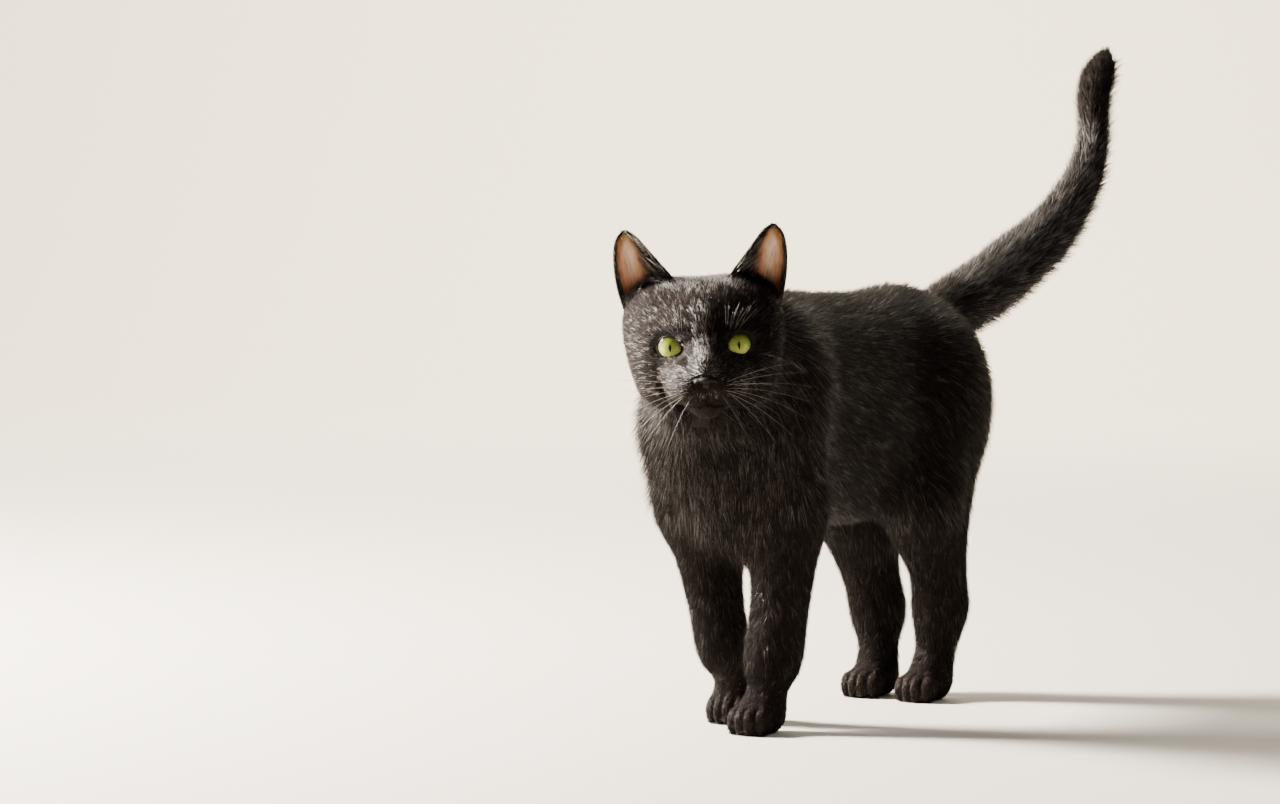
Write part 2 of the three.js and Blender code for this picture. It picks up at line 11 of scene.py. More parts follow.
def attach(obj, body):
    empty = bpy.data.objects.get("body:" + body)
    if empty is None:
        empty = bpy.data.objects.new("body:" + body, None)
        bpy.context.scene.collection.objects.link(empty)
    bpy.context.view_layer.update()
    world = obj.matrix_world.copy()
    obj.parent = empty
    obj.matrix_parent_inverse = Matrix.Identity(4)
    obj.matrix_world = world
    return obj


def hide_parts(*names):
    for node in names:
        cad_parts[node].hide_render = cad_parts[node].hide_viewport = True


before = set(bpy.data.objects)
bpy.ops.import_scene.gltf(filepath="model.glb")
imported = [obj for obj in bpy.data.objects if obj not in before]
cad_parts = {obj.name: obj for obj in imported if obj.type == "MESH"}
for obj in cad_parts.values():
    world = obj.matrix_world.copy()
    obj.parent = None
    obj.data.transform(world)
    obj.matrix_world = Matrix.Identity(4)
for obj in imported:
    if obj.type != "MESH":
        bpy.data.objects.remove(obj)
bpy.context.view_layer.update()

# ---- Hide ------------------------------------------------
# The skin of the whole cat under its coat, in one piece so that no joint shows. It is cast from the flesh
# solids, lies inside them by the coat's depth, and is shaped finer on the face and feet.
MM = 0.001
MIDDLE = Vector((18.9, 62.5, 0)) * MM  # from the floor under the mid trunk to the origin
HEAD_AT = Vector((22.4, -162.6, 225)) * MM
HEAD = (  # turned to its left, lowered a little and tilted
    Matrix.Translation(HEAD_AT - MIDDLE)
    @ Matrix.Rotation(math.radians(29.8), 4, "Z")
    @ Matrix.Rotation(math.radians(2), 4, "X")
    @ Matrix.Rotation(math.radians(-2.6), 4, "Y")
)
EARS = ("ear_left", "ear_right")
HIDE_GRID = 2.2 * MM
GAP = 0.35  # mm by which the solids grow, to close the gaps between them


def to_head(points):
    """Points of the cat, in metres, as millimetres in the head's own frame: nose to -Y, left to +X."""
    m = np.array(HEAD.inverted())
    return (points @ m[:3, :3].T + m[:3, 3]) / MM


def from_head(points):
    """The way back: millimetres in the head's frame as metres of the cat."""
    m = np.array(HEAD)
    return np.asarray(points, float) * MM @ m[:3, :3].T + m[:3, 3]


def mass(p, centre, radii):
    """How far the points lie outside a rounded muscle."""
    q = (p - centre) / radii
    reach = np.linalg.norm(q, axis=1)
    return reach * (reach - 1) / (np.linalg.norm(q / radii, axis=1) + 1e-9)


def limb(p, a, b, radius_a, radius_b):
    """How far the points lie outside a tapered length from a to b."""
    a, b = np.array(a, float), np.array(b, float)
    t = np.clip((p - a) @ (b - a) / ((b - a) @ (b - a)), 0, 1)[:, None]
    return np.linalg.norm(p - a - t * (b - a), axis=1) - (radius_a + (radius_b - radius_a) * t[:, 0])


BLEND = 9  # mm over which the head's muscles run into each other


def skull(p):
    """How far the points lie outside the head, all its muscles blended."""
    muscles = [mass(p, (0, 4, 1.5), (35, 38, 30))]
    muscles += [mass(p, (side * 17, 5, 9), (18, 22, 22)) for side in (-1, 1)]
    muscles += [mass(p, (side * 26.5, 2, 8), (17.5, 23, 19)) for side in (-1, 1)]
    muscles += [mass(p, (side * 25.3, -2, -9), (17, 24, 22)) for side in (-1, 1)]
    muscles += [mass(p, (side * 18.5, 3, -27), (18, 24, 15)) for side in (-1, 1)]
    muscles.append(mass(p, (0, -16, 6), (27, 16, 15)))
    muscles.append(limb(p, (0, -23, -2), (0, -42, -15), 11.5, 7.6))
    muscles.append(limb(p, (0, -4, -28), (0, -33, -33.5), 13, 7.5))
    muscles += [limb(p, (side * 10, -25, -9), (side * 13, -35.5, -21), 6, 6) for side in (-1, 1)]
    muscles += [mass(p, (side * 9.3, -37.5, -27.2), (11.2, 11.5, 8)) for side in (-1, 1)]
    muscles.append(mass(p, (0, -37, -36), (8, 8.5, 6)))
    muscles += [limb(p, (side * 15.5, -27, -13), (side * 18, -26, -27), 6, 7) for side in (-1, 1)]
    joined = muscles[0]
    for muscle in muscles[1:]:
        overlap = np.maximum(BLEND - np.abs(joined - muscle), 0) / BLEND
        joined = np.minimum(joined, muscle) - overlap * overlap * BLEND / 4
    return joined


def slope(p):
    """The direction in which the points leave the head fastest."""
    step = 0.05
    return np.stack([(skull(p + s) - skull(p - s)) / (2 * step) for s in step * np.eye(3)], axis=1)


def settled(p, outside):
    """The points moved along the slope until they lie `outside` mm off the head's surface."""
    for _ in range(4):
        s = slope(p)
        p = p - ((skull(p) - outside) / ((s * s).sum(1) + 1e-9))[:, None] * s
    return p


def read(elements, key, width=1, kind=float):
    """A value or a row of values for each element of a mesh."""
    values = np.empty(width * len(elements), kind)
    elements.foreach_get(key, values)
    return values.reshape(-1, width) if width > 1 else values


def coords(mesh):
    return read(mesh.vertices, "co", 3)


def set_coords(mesh, co):
    mesh.vertices.foreach_set("co", np.ascontiguousarray(co).ravel())
    mesh.update()


def normals_of(mesh):
    return read(mesh.vertices, "normal", 3)


def unit(vectors):
    return vectors / (np.linalg.norm(vectors, axis=-1, keepdims=True) + 1e-12)


def smoothstep(low, high, value):
    t = np.clip((value - low) / (high - low), 0, 1)
    return t * t * (3 - 2 * t)


def only(obj):
    bpy.ops.object.select_all(action="DESELECT")
    obj.select_set(True)
    bpy.context.view_layer.objects.active = obj


def edit_whole(obj, operator, **settings):
    """Runs an edit mode operator on all of a mesh."""
    only(obj)
    bpy.ops.object.mode_set(mode="EDIT")
    bpy.ops.mesh.select_all(action="SELECT")
    operator(**settings)
    bpy.ops.object.mode_set(mode="OBJECT")


def placed(name, mesh):
    """A mesh as an object of the scene."""
    obj = bpy.data.objects.new(name, mesh)
    bpy.context.scene.collection.objects.link(obj)
    return obj


def edit_chosen(obj, kind, elements, chosen, operator, **settings):
    """Runs an edit mode operator on the chosen faces or edges of a mesh."""
    only(obj)
    bpy.ops.object.mode_set(mode="EDIT")
    bpy.ops.mesh.select_mode(type=kind)
    bpy.ops.mesh.select_all(action="DESELECT")
    bpy.ops.object.mode_set(mode="OBJECT")
    elements.foreach_set("select", chosen)
    bpy.ops.object.mode_set(mode="EDIT")
    operator(**settings)
    bpy.ops.object.mode_set(mode="OBJECT")


def refine(obj, chosen):
    """Cuts the chosen faces in four."""
    edit_chosen(obj, "FACE", obj.data.polygons, chosen, bpy.ops.mesh.subdivide, number_cuts=1)


def face_middles(mesh):
    return read(mesh.polygons, "center", 3)


flesh = bmesh.new()
for name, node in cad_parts.items():
    if name not in EARS:
        flesh.from_mesh(node.data)
bmesh.ops.remove_doubles(flesh, verts=flesh.verts, dist=1e-6)
flesh.normal_update()
for vertex in flesh.verts:
    vertex.co += vertex.normal * GAP * MM

# The solids' whiskers stay out of the cast: all that stands off the front of the face but the nose.
WHISKERS_OVER, NOSE_AT, NOSE_REACH = 2.2, (0, -48, -23), 8
at_head = to_head(np.array([v.co for v in flesh.verts]))
whisker = (skull(at_head) > WHISKERS_OVER) & (at_head[:, 1] < -22) & (at_head[:, 2] > -75)
whisker &= np.linalg.norm(at_head - NOSE_AT, axis=1) >= NOSE_REACH
bmesh.ops.delete(flesh, geom=[v for v, loose in zip(flesh.verts, whisker) if loose], context="VERTS")
hide_mesh = bpy.data.meshes.new("hide")
flesh.to_mesh(hide_mesh)
flesh.free()
hide = placed("hide", hide_mesh)
only(hide)
hide.data.remesh_voxel_size = HIDE_GRID
bpy.ops.object.voxel_remesh()

# Finer cells on the front of the head and on the feet, finer again round the eyes, nose and mouth, and finest
# along the lids.
EYE = {"x": 16.6, "y": -21.8, "z": -5.0, "radius": 9.6, "turn": 12, "tilt": 16}
HEAD_HALF_WIDTH, HEAD_HALF_HEIGHT, FOOT_HEIGHT = 60, 50, 24 * MM


def face_cells():
    """The middles of the hide's cells in the head's frame, which of them are on the front of the face, and
    how far each is from the middle of the nearer eye's opening."""
    middles = to_head(face_middles(hide.data))
    front = (middles[:, 1] < -14) & (np.abs(middles[:, 0]) < HEAD_HALF_WIDTH)
    return middles, front, np.hypot(np.abs(middles[:, 0]) - EYE["x"] - 1, middles[:, 2] - EYE["z"])


middles = to_head(face_middles(hide.data))
on_head = (middles[:, 1] < 0) & (np.abs(middles[:, 0]) < HEAD_HALF_WIDTH)
on_head &= np.abs(middles[:, 2]) < HEAD_HALF_HEIGHT
refine(hide, on_head | (face_middles(hide.data)[:, 2] < FOOT_HEIGHT))
middles, front, to_eye = face_cells()
by_nose = (middles[:, 1] < -33) & (middles[:, 2] > -46)
refine(hide, front & ((to_eye < 12.5) | by_nose))
for inner, outer in ((4, 11.5), (5, 10.5)):
    middles, front, to_eye = face_cells()
    refine(hide, front & (to_eye > inner) & (to_eye < outer))
smooth = hide.modifiers.new("smooth", "SMOOTH")
smooth.factor, smooth.iterations = 0.5, 5
bpy.ops.object.modifier_apply(modifier="smooth")
edit_whole(hide, bpy.ops.mesh.quads_convert_to_tris, quad_method="SHORTEST_DIAGONAL")

# How deep the coat is over each part of the body, in millimetres.
COAT_DEPTH = {
    "chest": 2.6, "belly": 2.4, "rump": 2.6, "neck": 1.8, "foreleg": 1.6, "forepaw": 0.9, "thigh": 2.4,
    "shank": 1.6, "hindpaw": 0.9, "tail": 2.8, "head": 1.0, "muzzle": 0.7, "nose": 0.7, "eye": 0.9,
}

# The tail's middle line, from its root to its tip.
TAIL = np.array([
    [0, 142, 218], [2, 184, 233], [6.6, 220.3, 244.7], [10.9, 248.5, 257.9], [16.9, 281.1, 274],
    [21.7, 309.6, 295.6], [23.6, 332, 319.4], [23.3, 341.2, 342], [22, 342, 362], [29, 348.5, 391],
]) * MM - np.array(MIDDLE)


def part(node_name):
    return node_name.split("_")[0]


class Neighbours:
    """Averages values over a mesh's edges."""

    def __init__(self, mesh):
        a, b = read(mesh.edges, "vertices", 2, np.int32).T
        self.count = len(mesh.vertices)
        self.start, self.end = np.concatenate([a, b]), np.concatenate([b, a])
        self.valence = np.maximum(np.bincount(self.start, minlength=self.count), 1)

    def average(self, values, passes):
        for _ in range(passes):
            columns = [
                np.bincount(self.start, weights=values[self.end, i], minlength=self.count) / self.valence
                for i in range(values.shape[1])
            ]
            values = 0.4 * values + 0.6 * np.stack(columns, axis=1)
        return values


landmarks = [
    (v.co, name) for name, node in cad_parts.items() if name not in EARS for v in node.data.vertices
]
tree = KDTree(len(landmarks))
for i, (place, _) in enumerate(landmarks):
    tree.insert(place, i)
tree.balance()
places = coords(hide.data)
part_of = np.array([landmarks[tree.find(p)[1]][1] for p in places])
around = Neighbours(hide.data)
depth = around.average(np.array([[COAT_DEPTH[part(n)]] for n in part_of]), 14)[:, 0]
to_tip = np.linalg.norm(places - TAIL[-1], axis=1) / MM
depth *= 1 - 0.8 * smoothstep(50, 15, to_tip)  # the tail's tip is all hair, and its hide is fuller there
sunk = places - around.average(normals_of(hide.data), 3) * (depth + GAP)[:, None] * MM

# On the face, where the cast is coarse, the hide settles on the head's own smooth form.
face = to_head(sunk)
on_face = smoothstep(8, -6, face[:, 1]) * (np.abs(skull(face)) < 8)
face += (settled(face, -depth) - face) * on_face[:, None]

# Eye sockets: between the lids the hide dips behind the eyeball, and from their edge it rises off it.
# The opening's half widths to each corner and its half height, and the lid at its edge and away from it.
LID = {"inner": 9.2, "outer": 8.2, "height": 6.3, "edge": 0.97, "thin": 0.2, "thick": 1.0}
POINTED = {"inner": 1.7, "outer": 1.9}  # 2 would be round


def eye_frame(side):
    """The eye's own frame in the head's: -Y looks out of it, and its outer corner is tilted up."""
    return (
        Matrix.Translation((side * EYE["x"], EYE["y"], EYE["z"]))
        @ Matrix.Rotation(side * math.radians(EYE["turn"]), 4, "Z")
        @ Matrix.Rotation(-side * math.radians(EYE["tilt"]), 4, "Y")
    )


def in_eye(p, side):
    """Points of the head in the eye's own frame."""
    m = np.array(eye_frame(side).inverted())
    return p @ m[:3, :3].T + m[:3, 3]


def out_of_eye(p, side):
    m = np.array(eye_frame(side))
    return np.asarray(p) @ m[:3, :3].T + m[:3, 3]


def almond_reach(outward, up):
    """1 on the edge of the opening between the lids, less inside it."""
    half = np.where(outward > 0, LID["outer"], LID["inner"])
    power = np.where(outward > 0, POINTED["outer"], POINTED["inner"])
    return np.sqrt((outward / half) ** 2 + np.abs(up / LID["height"]) ** power)


bare = np.zeros(len(face), bool)
for side in (-1, 1):
    q = in_eye(face, side)
    near = (q[:, 1] < 2) & (np.linalg.norm(q, axis=1) < 16)
    reach = almond_reach(side * q[:, 0], q[:, 2])
    beside = near & (np.abs(reach - LID["edge"]) < 0.025)
    q[beside] *= np.stack([LID["edge"] / reach, 1 + 0 * reach, LID["edge"] / reach], axis=1)[beside]
    reach[beside] = LID["edge"]
    away = np.linalg.norm(q, axis=1)
    past = np.maximum(reach - LID["edge"], 0)
    lowest = EYE["radius"] + LID["thin"] + (LID["thick"] - LID["thin"]) * smoothstep(0, 0.35, past)
    highest = EYE["radius"] + 0.35 + 9 * past
    over = np.where(past < 0.5, np.clip(away, lowest, highest), np.maximum(away, lowest))
    wanted = np.where(reach >= LID["edge"] - 1e-6, over, np.minimum(away, EYE["radius"] - 1.6))
    q *= (wanted / np.maximum(away, 1e-6))[:, None]
    face[near] = out_of_eye(q[near], side)
    bare |= near & (reach < 1.06)

# The mouth: a groove down from the nose and out under each whisker pad.
GROOVE = {"depth": 0.75, "half_width": 0.8}
MOUTH = [(0, -26), (0, -30), (0, -34.8), (4, -36.2), (8.5, -36), (12.5, -34.2), (16, -31)]
for (x0, z0), (x1, z1) in zip(MOUTH, MOUTH[1:]):
    run = np.array([x1 - x0, z1 - z0])
    across = np.stack([np.abs(face[:, 0]) - x0, face[:, 2] - z0], axis=1)
    t = np.clip(across @ run / (run @ run), 0, 1)
    off_line = np.linalg.norm(across - t[:, None] * run, axis=1)
    face[:, 1] += GROOVE["depth"] * np.exp(-(off_line / GROOVE["half_width"]) ** 2) * (face[:, 1] < -22)

set_coords(hide.data, from_head(face))
hide.data.shade_smooth()

# Clefts between the toes.
FEET = {
    "forepaw_left": (19, -92), "forepaw_right": (-19, -48),
    "hindpaw_left": (20, 112), "hindpaw_right": (-20, 120),
}
TOE_SPACING = 6.3
CLEFT = 1.3  # its depth, and about its width
places = coords(hide.data)
inward = -around.average(normals_of(hide.data), 2)
for x, y in FEET.values():
    own = (places + MIDDLE) / MM - (x, y, 0)
    on_toes = smoothstep(-8, -15, own[:, 1]) * smoothstep(20, 11, own[:, 2])
    on_toes *= np.hypot(own[:, 0], own[:, 1]) < 32
    for cleft in (-1, 0, 1):
        off_line = own[:, 0] - cleft * TOE_SPACING
        places += inward * (CLEFT * np.exp(-off_line ** 2) * on_toes)[:, None] * MM
set_coords(hide.data, places)

# The lie of the coat: which way the hairs point at each place on the hide.
NOSE_TIP = np.array([0, -47, -20.0])
EAR_BASE = np.array([[18, -2, 33], [43, 5, 18]])  # in the head, along the front of the left ear's root
LIE = {
    "foreleg": (0, 0.2, -1), "forepaw": (0, -0.8, -0.45), "thigh": (0, 0.45, -0.8), "shank": (0, 0.1, -1),
    "hindpaw": (0, -0.7, -0.5), "neck": (0, 0.6, -0.6),
}


def by_ears(head_places):
    """1 in front of the ears' roots, 0 a centimetre away."""
    a, b = EAR_BASE
    p = np.array(head_places)
    p[:, 0] = np.abs(p[:, 0])
    t = np.clip((p - a) @ (b - a) / ((b - a) @ (b - a)), 0, 1)[:, None]
    return smoothstep(11, 3, np.linalg.norm(p - a - t * (b - a), axis=1))


def lie_at(place, name, head_place, by_ear):
    """Away from the nose on the head, down the tail and legs, and back and down over the trunk."""
    if part(name) in ("head", "muzzle", "nose", "eye"):
        away = head_place - NOSE_TIP
        away[1] = max(away[1], 2.0) * 1.4
        risen = np.array([0.35 * np.sign(head_place[0]), 0.1, 1.0]) * np.linalg.norm(away)
        return np.array(HEAD.to_3x3()) @ (away + (risen - away) * by_ear)
    if part(name) == "tail":
        nearest = np.argmin(np.linalg.norm(TAIL - place, axis=1))
        nearest = min(max(nearest, 1), len(TAIL) - 2)
        return TAIL[nearest + 1] - TAIL[nearest - 1]
    if part(name) in LIE:
        return np.array(LIE[part(name)], float)
    high = smoothstep(0.19, 0.235, place[2])
    front = smoothstep(-0.125, -0.165, place[1])
    return np.array([0, 0.9 - 0.8 * front, -0.5 + 0.45 * high - 0.9 * front * (1 - high)])


places = coords(hide.data)
outward = unit(around.average(normals_of(hide.data), 4))
ear_side = by_ears(to_head(places))
lie = unit(np.array([lie_at(p, n, h, e) for p, n, h, e in zip(places, part_of, to_head(places), ear_side)]))
lie = around.average(lie, 40) + around.average(lie, 6) * ear_side[:, None]
lie = unit(lie - (lie * outward).sum(1)[:, None] * outward)

# The hide's unwrap, which the coat shares.
edit_whole(hide, bpy.ops.uv.smart_project, angle_limit=math.radians(70), island_margin=0.002)
hide.data.uv_layers[0].name = "OFBake"


def linear(hex_colour):
    """An sRGB hex value as a linear colour."""
    values = [int(hex_colour[i:i + 2], 16) / 255 for i in (1, 3, 5)]
    return [v / 12.92 if v <= 0.04045 else ((v + 0.055) / 1.055) ** 2.4 for v in values] + [1]


def new_material(name, **settings):
    """A material and its shader, with values set on the shader's own sockets."""
    material = bpy.data.materials.new(name)
    material.use_nodes = True
    shader = material.node_tree.nodes["Principled BSDF"]
    for key, value in settings.items():
        shader.inputs[key.replace("_", " ")].default_value = value
    return material, shader


def add(material, kind, links=(), inputs=(), stops=(), out=0, **settings):
    """Adds a node with its settings, its inputs' values, a ramp's (place, hex) stops, and links to its inputs
    from other nodes' outputs. Gives back one of its outputs, or all for None."""
    node = material.node_tree.nodes.new("ShaderNode" + kind)
    for key, value in settings.items():
        setattr(node, key, value)
    while stops and len(node.color_ramp.elements) < len(stops):
        node.color_ramp.elements.new(0.5)
    for (place, colour), element in zip(stops, node.color_ramp.elements if stops else ()):
        element.position, element.color = place, linear(colour)
    for key, value in dict(inputs).items():
        node.inputs[key].default_value = value
    for key, output in dict(links).items():
        material.node_tree.links.new(output, node.inputs[key])
    return node.outputs if out is None else node.outputs[out]


# Short black fur, as the shade between the locks: the pigment takes nearly all the light and a brown
# undertone is left, mottled over 18 mm. Strands are drawn 1.1 mm apart, as finer ones wouldn't show.
FUR = {
    "black": "#161210", "velvet": "#0f0c0b", "brown": "#1c1613",
    "rust": "#2b2522", "grey": "#403c3a", "silver": "#5e5d5d",
}
short_fur, shader = new_material("short black fur", Roughness=0.55, IOR=1.5, Specular_IOR_Level=0.03)
place = add(short_fur, "TexCoord", out="Object")
mottle = add(short_fur, "TexNoise", {"Vector": place}, {"Scale": 55, "Detail": 4})
colour = add(short_fur, "ValToRGB", {"Fac": mottle}, stops=[(0.35, FUR["black"]), (0.7, FUR["brown"])])
short_fur.node_tree.links.new(colour, shader.inputs["Base Color"])
strands = add(short_fur, "TexNoise", {"Vector": place}, {"Scale": 900, "Detail": 3})
bump = add(short_fur, "Bump", {"Height": strands}, {"Strength": 0.5, "Distance": 0.6 * MM})
short_fur.node_tree.links.new(bump, shader.inputs["Normal"])
hide.data.materials.append(short_fur)
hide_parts(*[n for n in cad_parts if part(n) not in ("ear", "eye", "nose")])
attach(hide, "root")

# ---- Coat ------------------------------------------------
# Short sleek guard hairs in fine pointed locks, each a closed sliver with a ridge. They are rooted in the
# hide, follow its lie and end at the solids' surface; they are smallest on the face and feet.
LOCKS = {
    # locks per square mm, length, width, how far tips stand off beyond the coat's depth (mm), greyness
    "chest": (1.25, 12, 0.62, 1.9, 0),
    "belly": (1.0, 12, 0.65, 1.6, -0.08),
    "rump": (1.05, 12, 0.65, 2.4, -0.1),
    "neck": (1.4, 12, 0.56, 1.9, 0),
    "foreleg": (1.6, 8, 0.5, 0.8, -0.12),
    "forepaw": (2.0, 4.0, 0.42, 0.15, -0.1),
    "thigh": (1.15, 11, 0.62, 1.6, -0.1),
    "shank": (1.5, 8.5, 0.52, 1.0, -0.12),
    "hindpaw": (2.0, 4.0, 0.42, 0.15, -0.1),
    "tail": (1.6, 11, 0.6, 2.6, 0.04),
    "head": (2.2, 5.0, 0.4, 0.35, -0.05),
    "muzzle": (3.4, 3.0, 0.32, 0.15, 0.12),
    "eye": (2.8, 2.4, 0.32, 0.1, -0.05),
    "nose": (3.4, 2.2, 0.3, 0.1, 0.1),
}
COAT_PIECES = {
    "coat_head": ("head",), "coat_muzzle": ("muzzle", "eye"), "coat_neck": ("neck",),
    "coat_chest": ("chest",), "coat_belly": ("belly",), "coat_rump": ("rump",), "coat_tail": ("tail",),
    "coat_forelegs": ("foreleg", "forepaw"), "coat_thighs": ("thigh",), "coat_shanks": ("shank", "hindpaw"),
}
LOCK_FACES = np.array([(0, 1, 3), (1, 2, 3), (2, 0, 3), (0, 2, 1)])  # three corners at the root, then the tip
LOCK_MAP = np.array([(-1, -1), (0, -1), (1, -1), (0, 1)]) * 0.0014  # a lock's own patch of the unwrap
SWAY, PILE = 260, 420  # per metre: locks turn together over 4 mm and lie as deep as each other over 2.4 mm
PILE_SHIFT = Vector((5.1, 2.3, 7.7))
LOCKS_PER_CLUMP = 9
SINK = 0.4 * MM  # how deep a lock is rooted in the hide
FLOOR_GAP = 0.2 * MM
GLINTING = 0.72  # locks of a paler tone than this glint
rng = np.random.default_rng(11)


def hair_of(name, black, roughness, specular):
    """Guard hair: black with a brown undertone, and grey at few tips."""
    hair, shader = new_material(name, Roughness=roughness, IOR=1.5, Specular_IOR_Level=specular)
    tone = add(hair, "Attribute", out="Fac", attribute_name="tone")
    colour = add(hair, "ValToRGB", {"Fac": tone}, stops=[
        (0.0, black), (0.45, black), (0.7, FUR["brown"]), (0.83, FUR["rust"]), (0.93, FUR["grey"]),
        (1.0, FUR["silver"])])
    hair.node_tree.links.new(colour, shader.inputs["Base Color"])
    return hair


# Most locks are matt, and some of them glint. The velvet of the face and ears is blacker and glints less.
guard_hair = (
    hair_of("black guard hair", FUR["black"], 0.42, 0.03),
    hair_of("glinting black guard hair", FUR["black"], 0.42, 0.32),
)
velvet_hair = (
    hair_of("black velvet hair", FUR["velvet"], 0.45, 0.01),
    hair_of("glinting black velvet hair", FUR["velvet"], 0.42, 0.2),
)


class Skin:
    """A triangulated surface that hair grows from."""

    def __init__(self, mesh, unwrap, normals):
        self.places, self.normals = coords(mesh), normals
        self.corners = read(mesh.polygons, "vertices", 3, np.int32)
        self.unwrap = read(mesh.uv_layers[unwrap].data, "uv", 2).reshape(-1, 3, 2)
        a, b, c = (self.places[self.corners[:, i]] for i in range(3))
        self.area = np.linalg.norm(np.cross(b - a, c - a), axis=1) / 2 / MM ** 2
        self.tree = BVHTree.FromPolygons(self.places.tolist(), self.corners.tolist())

    def lifted(self, points, height):
        """The points moved to `height` metres over the surface."""
        found = [self.tree.find_nearest(p) for p in points]
        return np.array([f[0] for f in found]) + np.array([f[1] for f in found]) * height[:, None]


def grow(name, skin, density, length, width, lie, depth, proud, hair, turn=0.16, clings=True, grey=0):
    """Covers a skin with locks. For each face: `density` per square mm, `length` and `width` in mm, and
    `proud`, how far tips stand off beyond the coat's `depth`. For each vertex: `lie` and `depth`."""
    total = np.cumsum(skin.area * density)
    count = int(total[-1])
    row = np.searchsorted(total, (np.arange(count) + rng.random(count)) / count * total[-1])
    row = np.minimum(row, len(skin.corners) - 1)
    length, width, proud, grey = (
        np.broadcast_to(v, len(skin.corners))[row] for v in (length, width, proud, grey))
    a, b = rng.random((2, count))
    a, b = np.where(a + b > 1, 1 - a, a), np.where(a + b > 1, 1 - b, b)
    share = np.stack([1 - a - b, a, b], axis=1)[:, :, None]

    def mixed(values):
        return (values[skin.corners[row]] * share).sum(1)

    root, up, along = mixed(skin.places), unit(mixed(skin.normals)), unit(mixed(lie))
    deep = mixed(depth[:, None])[:, 0]
    sway, pile = np.array([
        (noise.noise(p * SWAY), noise.noise(p * PILE + PILE_SHIFT)) for p in map(Vector, root)]).T
    swing = (rng.normal(0, turn, count) + 0.45 * sway)[:, None]
    along = unit(along - (along * up).sum(1)[:, None] * up)
    along = along * np.cos(swing) + np.cross(up, along) * np.sin(swing)
    aside = np.cross(along, up) * (width * rng.uniform(0.7, 1.3, count) / 2 * MM)[:, None]
    stray = np.minimum(proud * (0.35 + 0.65 * rng.exponential(1, count)), 1 + 1.2 * proud)
    over = (deep * np.clip(rng.uniform(0.5, 1.05, count) + 0.35 * pile, 0.3, 1.2) + stray) * MM
    tip = root + along * (length * rng.uniform(0.65, 1.25, count) * MM)[:, None]

    # Neighbouring tips draw together towards one of them.
    heads = rng.choice(count, count // LOCKS_PER_CLUMP + 1)
    gathered = KDTree(len(heads))
    for i, head in enumerate(heads):
        gathered.insert(root[head], i)
    gathered.balance()
    own_head = heads[[gathered.find(p)[1] for p in root]]
    tip += (tip[own_head] - tip) * np.clip(proud / 5, 0, 0.4)[:, None]
    tip = skin.lifted(tip, over) if clings else tip + up * over[:, None]
    base = root - up * SINK
    ridge = base + up * 0.7 * np.linalg.norm(aside, axis=1)[:, None]
    ridge = ridge + aside * rng.uniform(-0.8, 0.8, (count, 1))
    lock = np.stack([base - aside, ridge, base + aside, tip], axis=1)
    lock[:, :, 2] = np.maximum(lock[:, :, 2], FLOOR_GAP)

    index = (np.arange(count)[:, None, None] * 4 + LOCK_FACES).reshape(-1, 3)
    mesh = bpy.data.meshes.new(name)
    mesh.vertices.add(4 * count)
    mesh.vertices.foreach_set("co", lock.ravel())
    mesh.loops.add(index.size)
    mesh.loops.foreach_set("vertex_index", index.ravel())
    mesh.polygons.add(len(index))
    mesh.polygons.foreach_set("loop_start", np.arange(len(index)) * 3)
    mesh.polygons.foreach_set("loop_total", np.full(len(index), 3))
    mesh.update(calc_edges=True)
    spread = ((skin.unwrap[row] * share).sum(1)[:, None, :] + LOCK_MAP).reshape(-1, 2)
    mesh.uv_layers.new(name="OFBake").data.foreach_set("uv", spread[index.ravel()].ravel())
    tone = np.clip(0.05 + 0.6 * rng.random(count) + 0.35 * rng.random(count)[own_head] + grey, 0, 1)
    mesh.attributes.new("tone", "FLOAT", "POINT").data.foreach_set("value", np.repeat(tone, 4))
    mesh.shade_smooth()
    for kind in hair:
        mesh.materials.append(kind)
    kind_of_lock = (tone > GLINTING) * (len(hair) - 1)
    mesh.polygons.foreach_set("material_index", np.repeat(kind_of_lock, 4).astype(np.int32))
    piece = placed(name, mesh)
    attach(piece, "root")


body = Skin(hide.data, "OFBake", outward)
corner = body.corners[:, 0]
kind_at = np.array([part(n) for n in part_of])
kind_of = kind_at[corner]
coat_of = around.average(np.array([LOCKS[kind] for kind in kind_at]), 14)[corner]
furred = ~bare[body.corners].any(axis=1)
at = to_head(places)
to_tip = np.linalg.norm(places - TAIL[-1], axis=1) / MM
to_eye = np.hypot(np.abs(at[:, 0]) - EYE["x"], at[:, 2] - EYE["z"])
facing = outward @ (-math.cos(math.radians(30)), -math.sin(math.radians(30)), 0)  # the right front

# Longer before the ears and on the ruff behind the cheeks, shorter at the tail's tip.
ruff = smoothstep(-8, 10, at[:, 1]) * smoothstep(16, 0, at[:, 2])
longer = (1 + (0.8 * ear_side + 1.2 * ruff * (kind_at == "head")))[corner]
shorter = (1 - 0.55 * smoothstep(34, 12, to_tip))[corner]

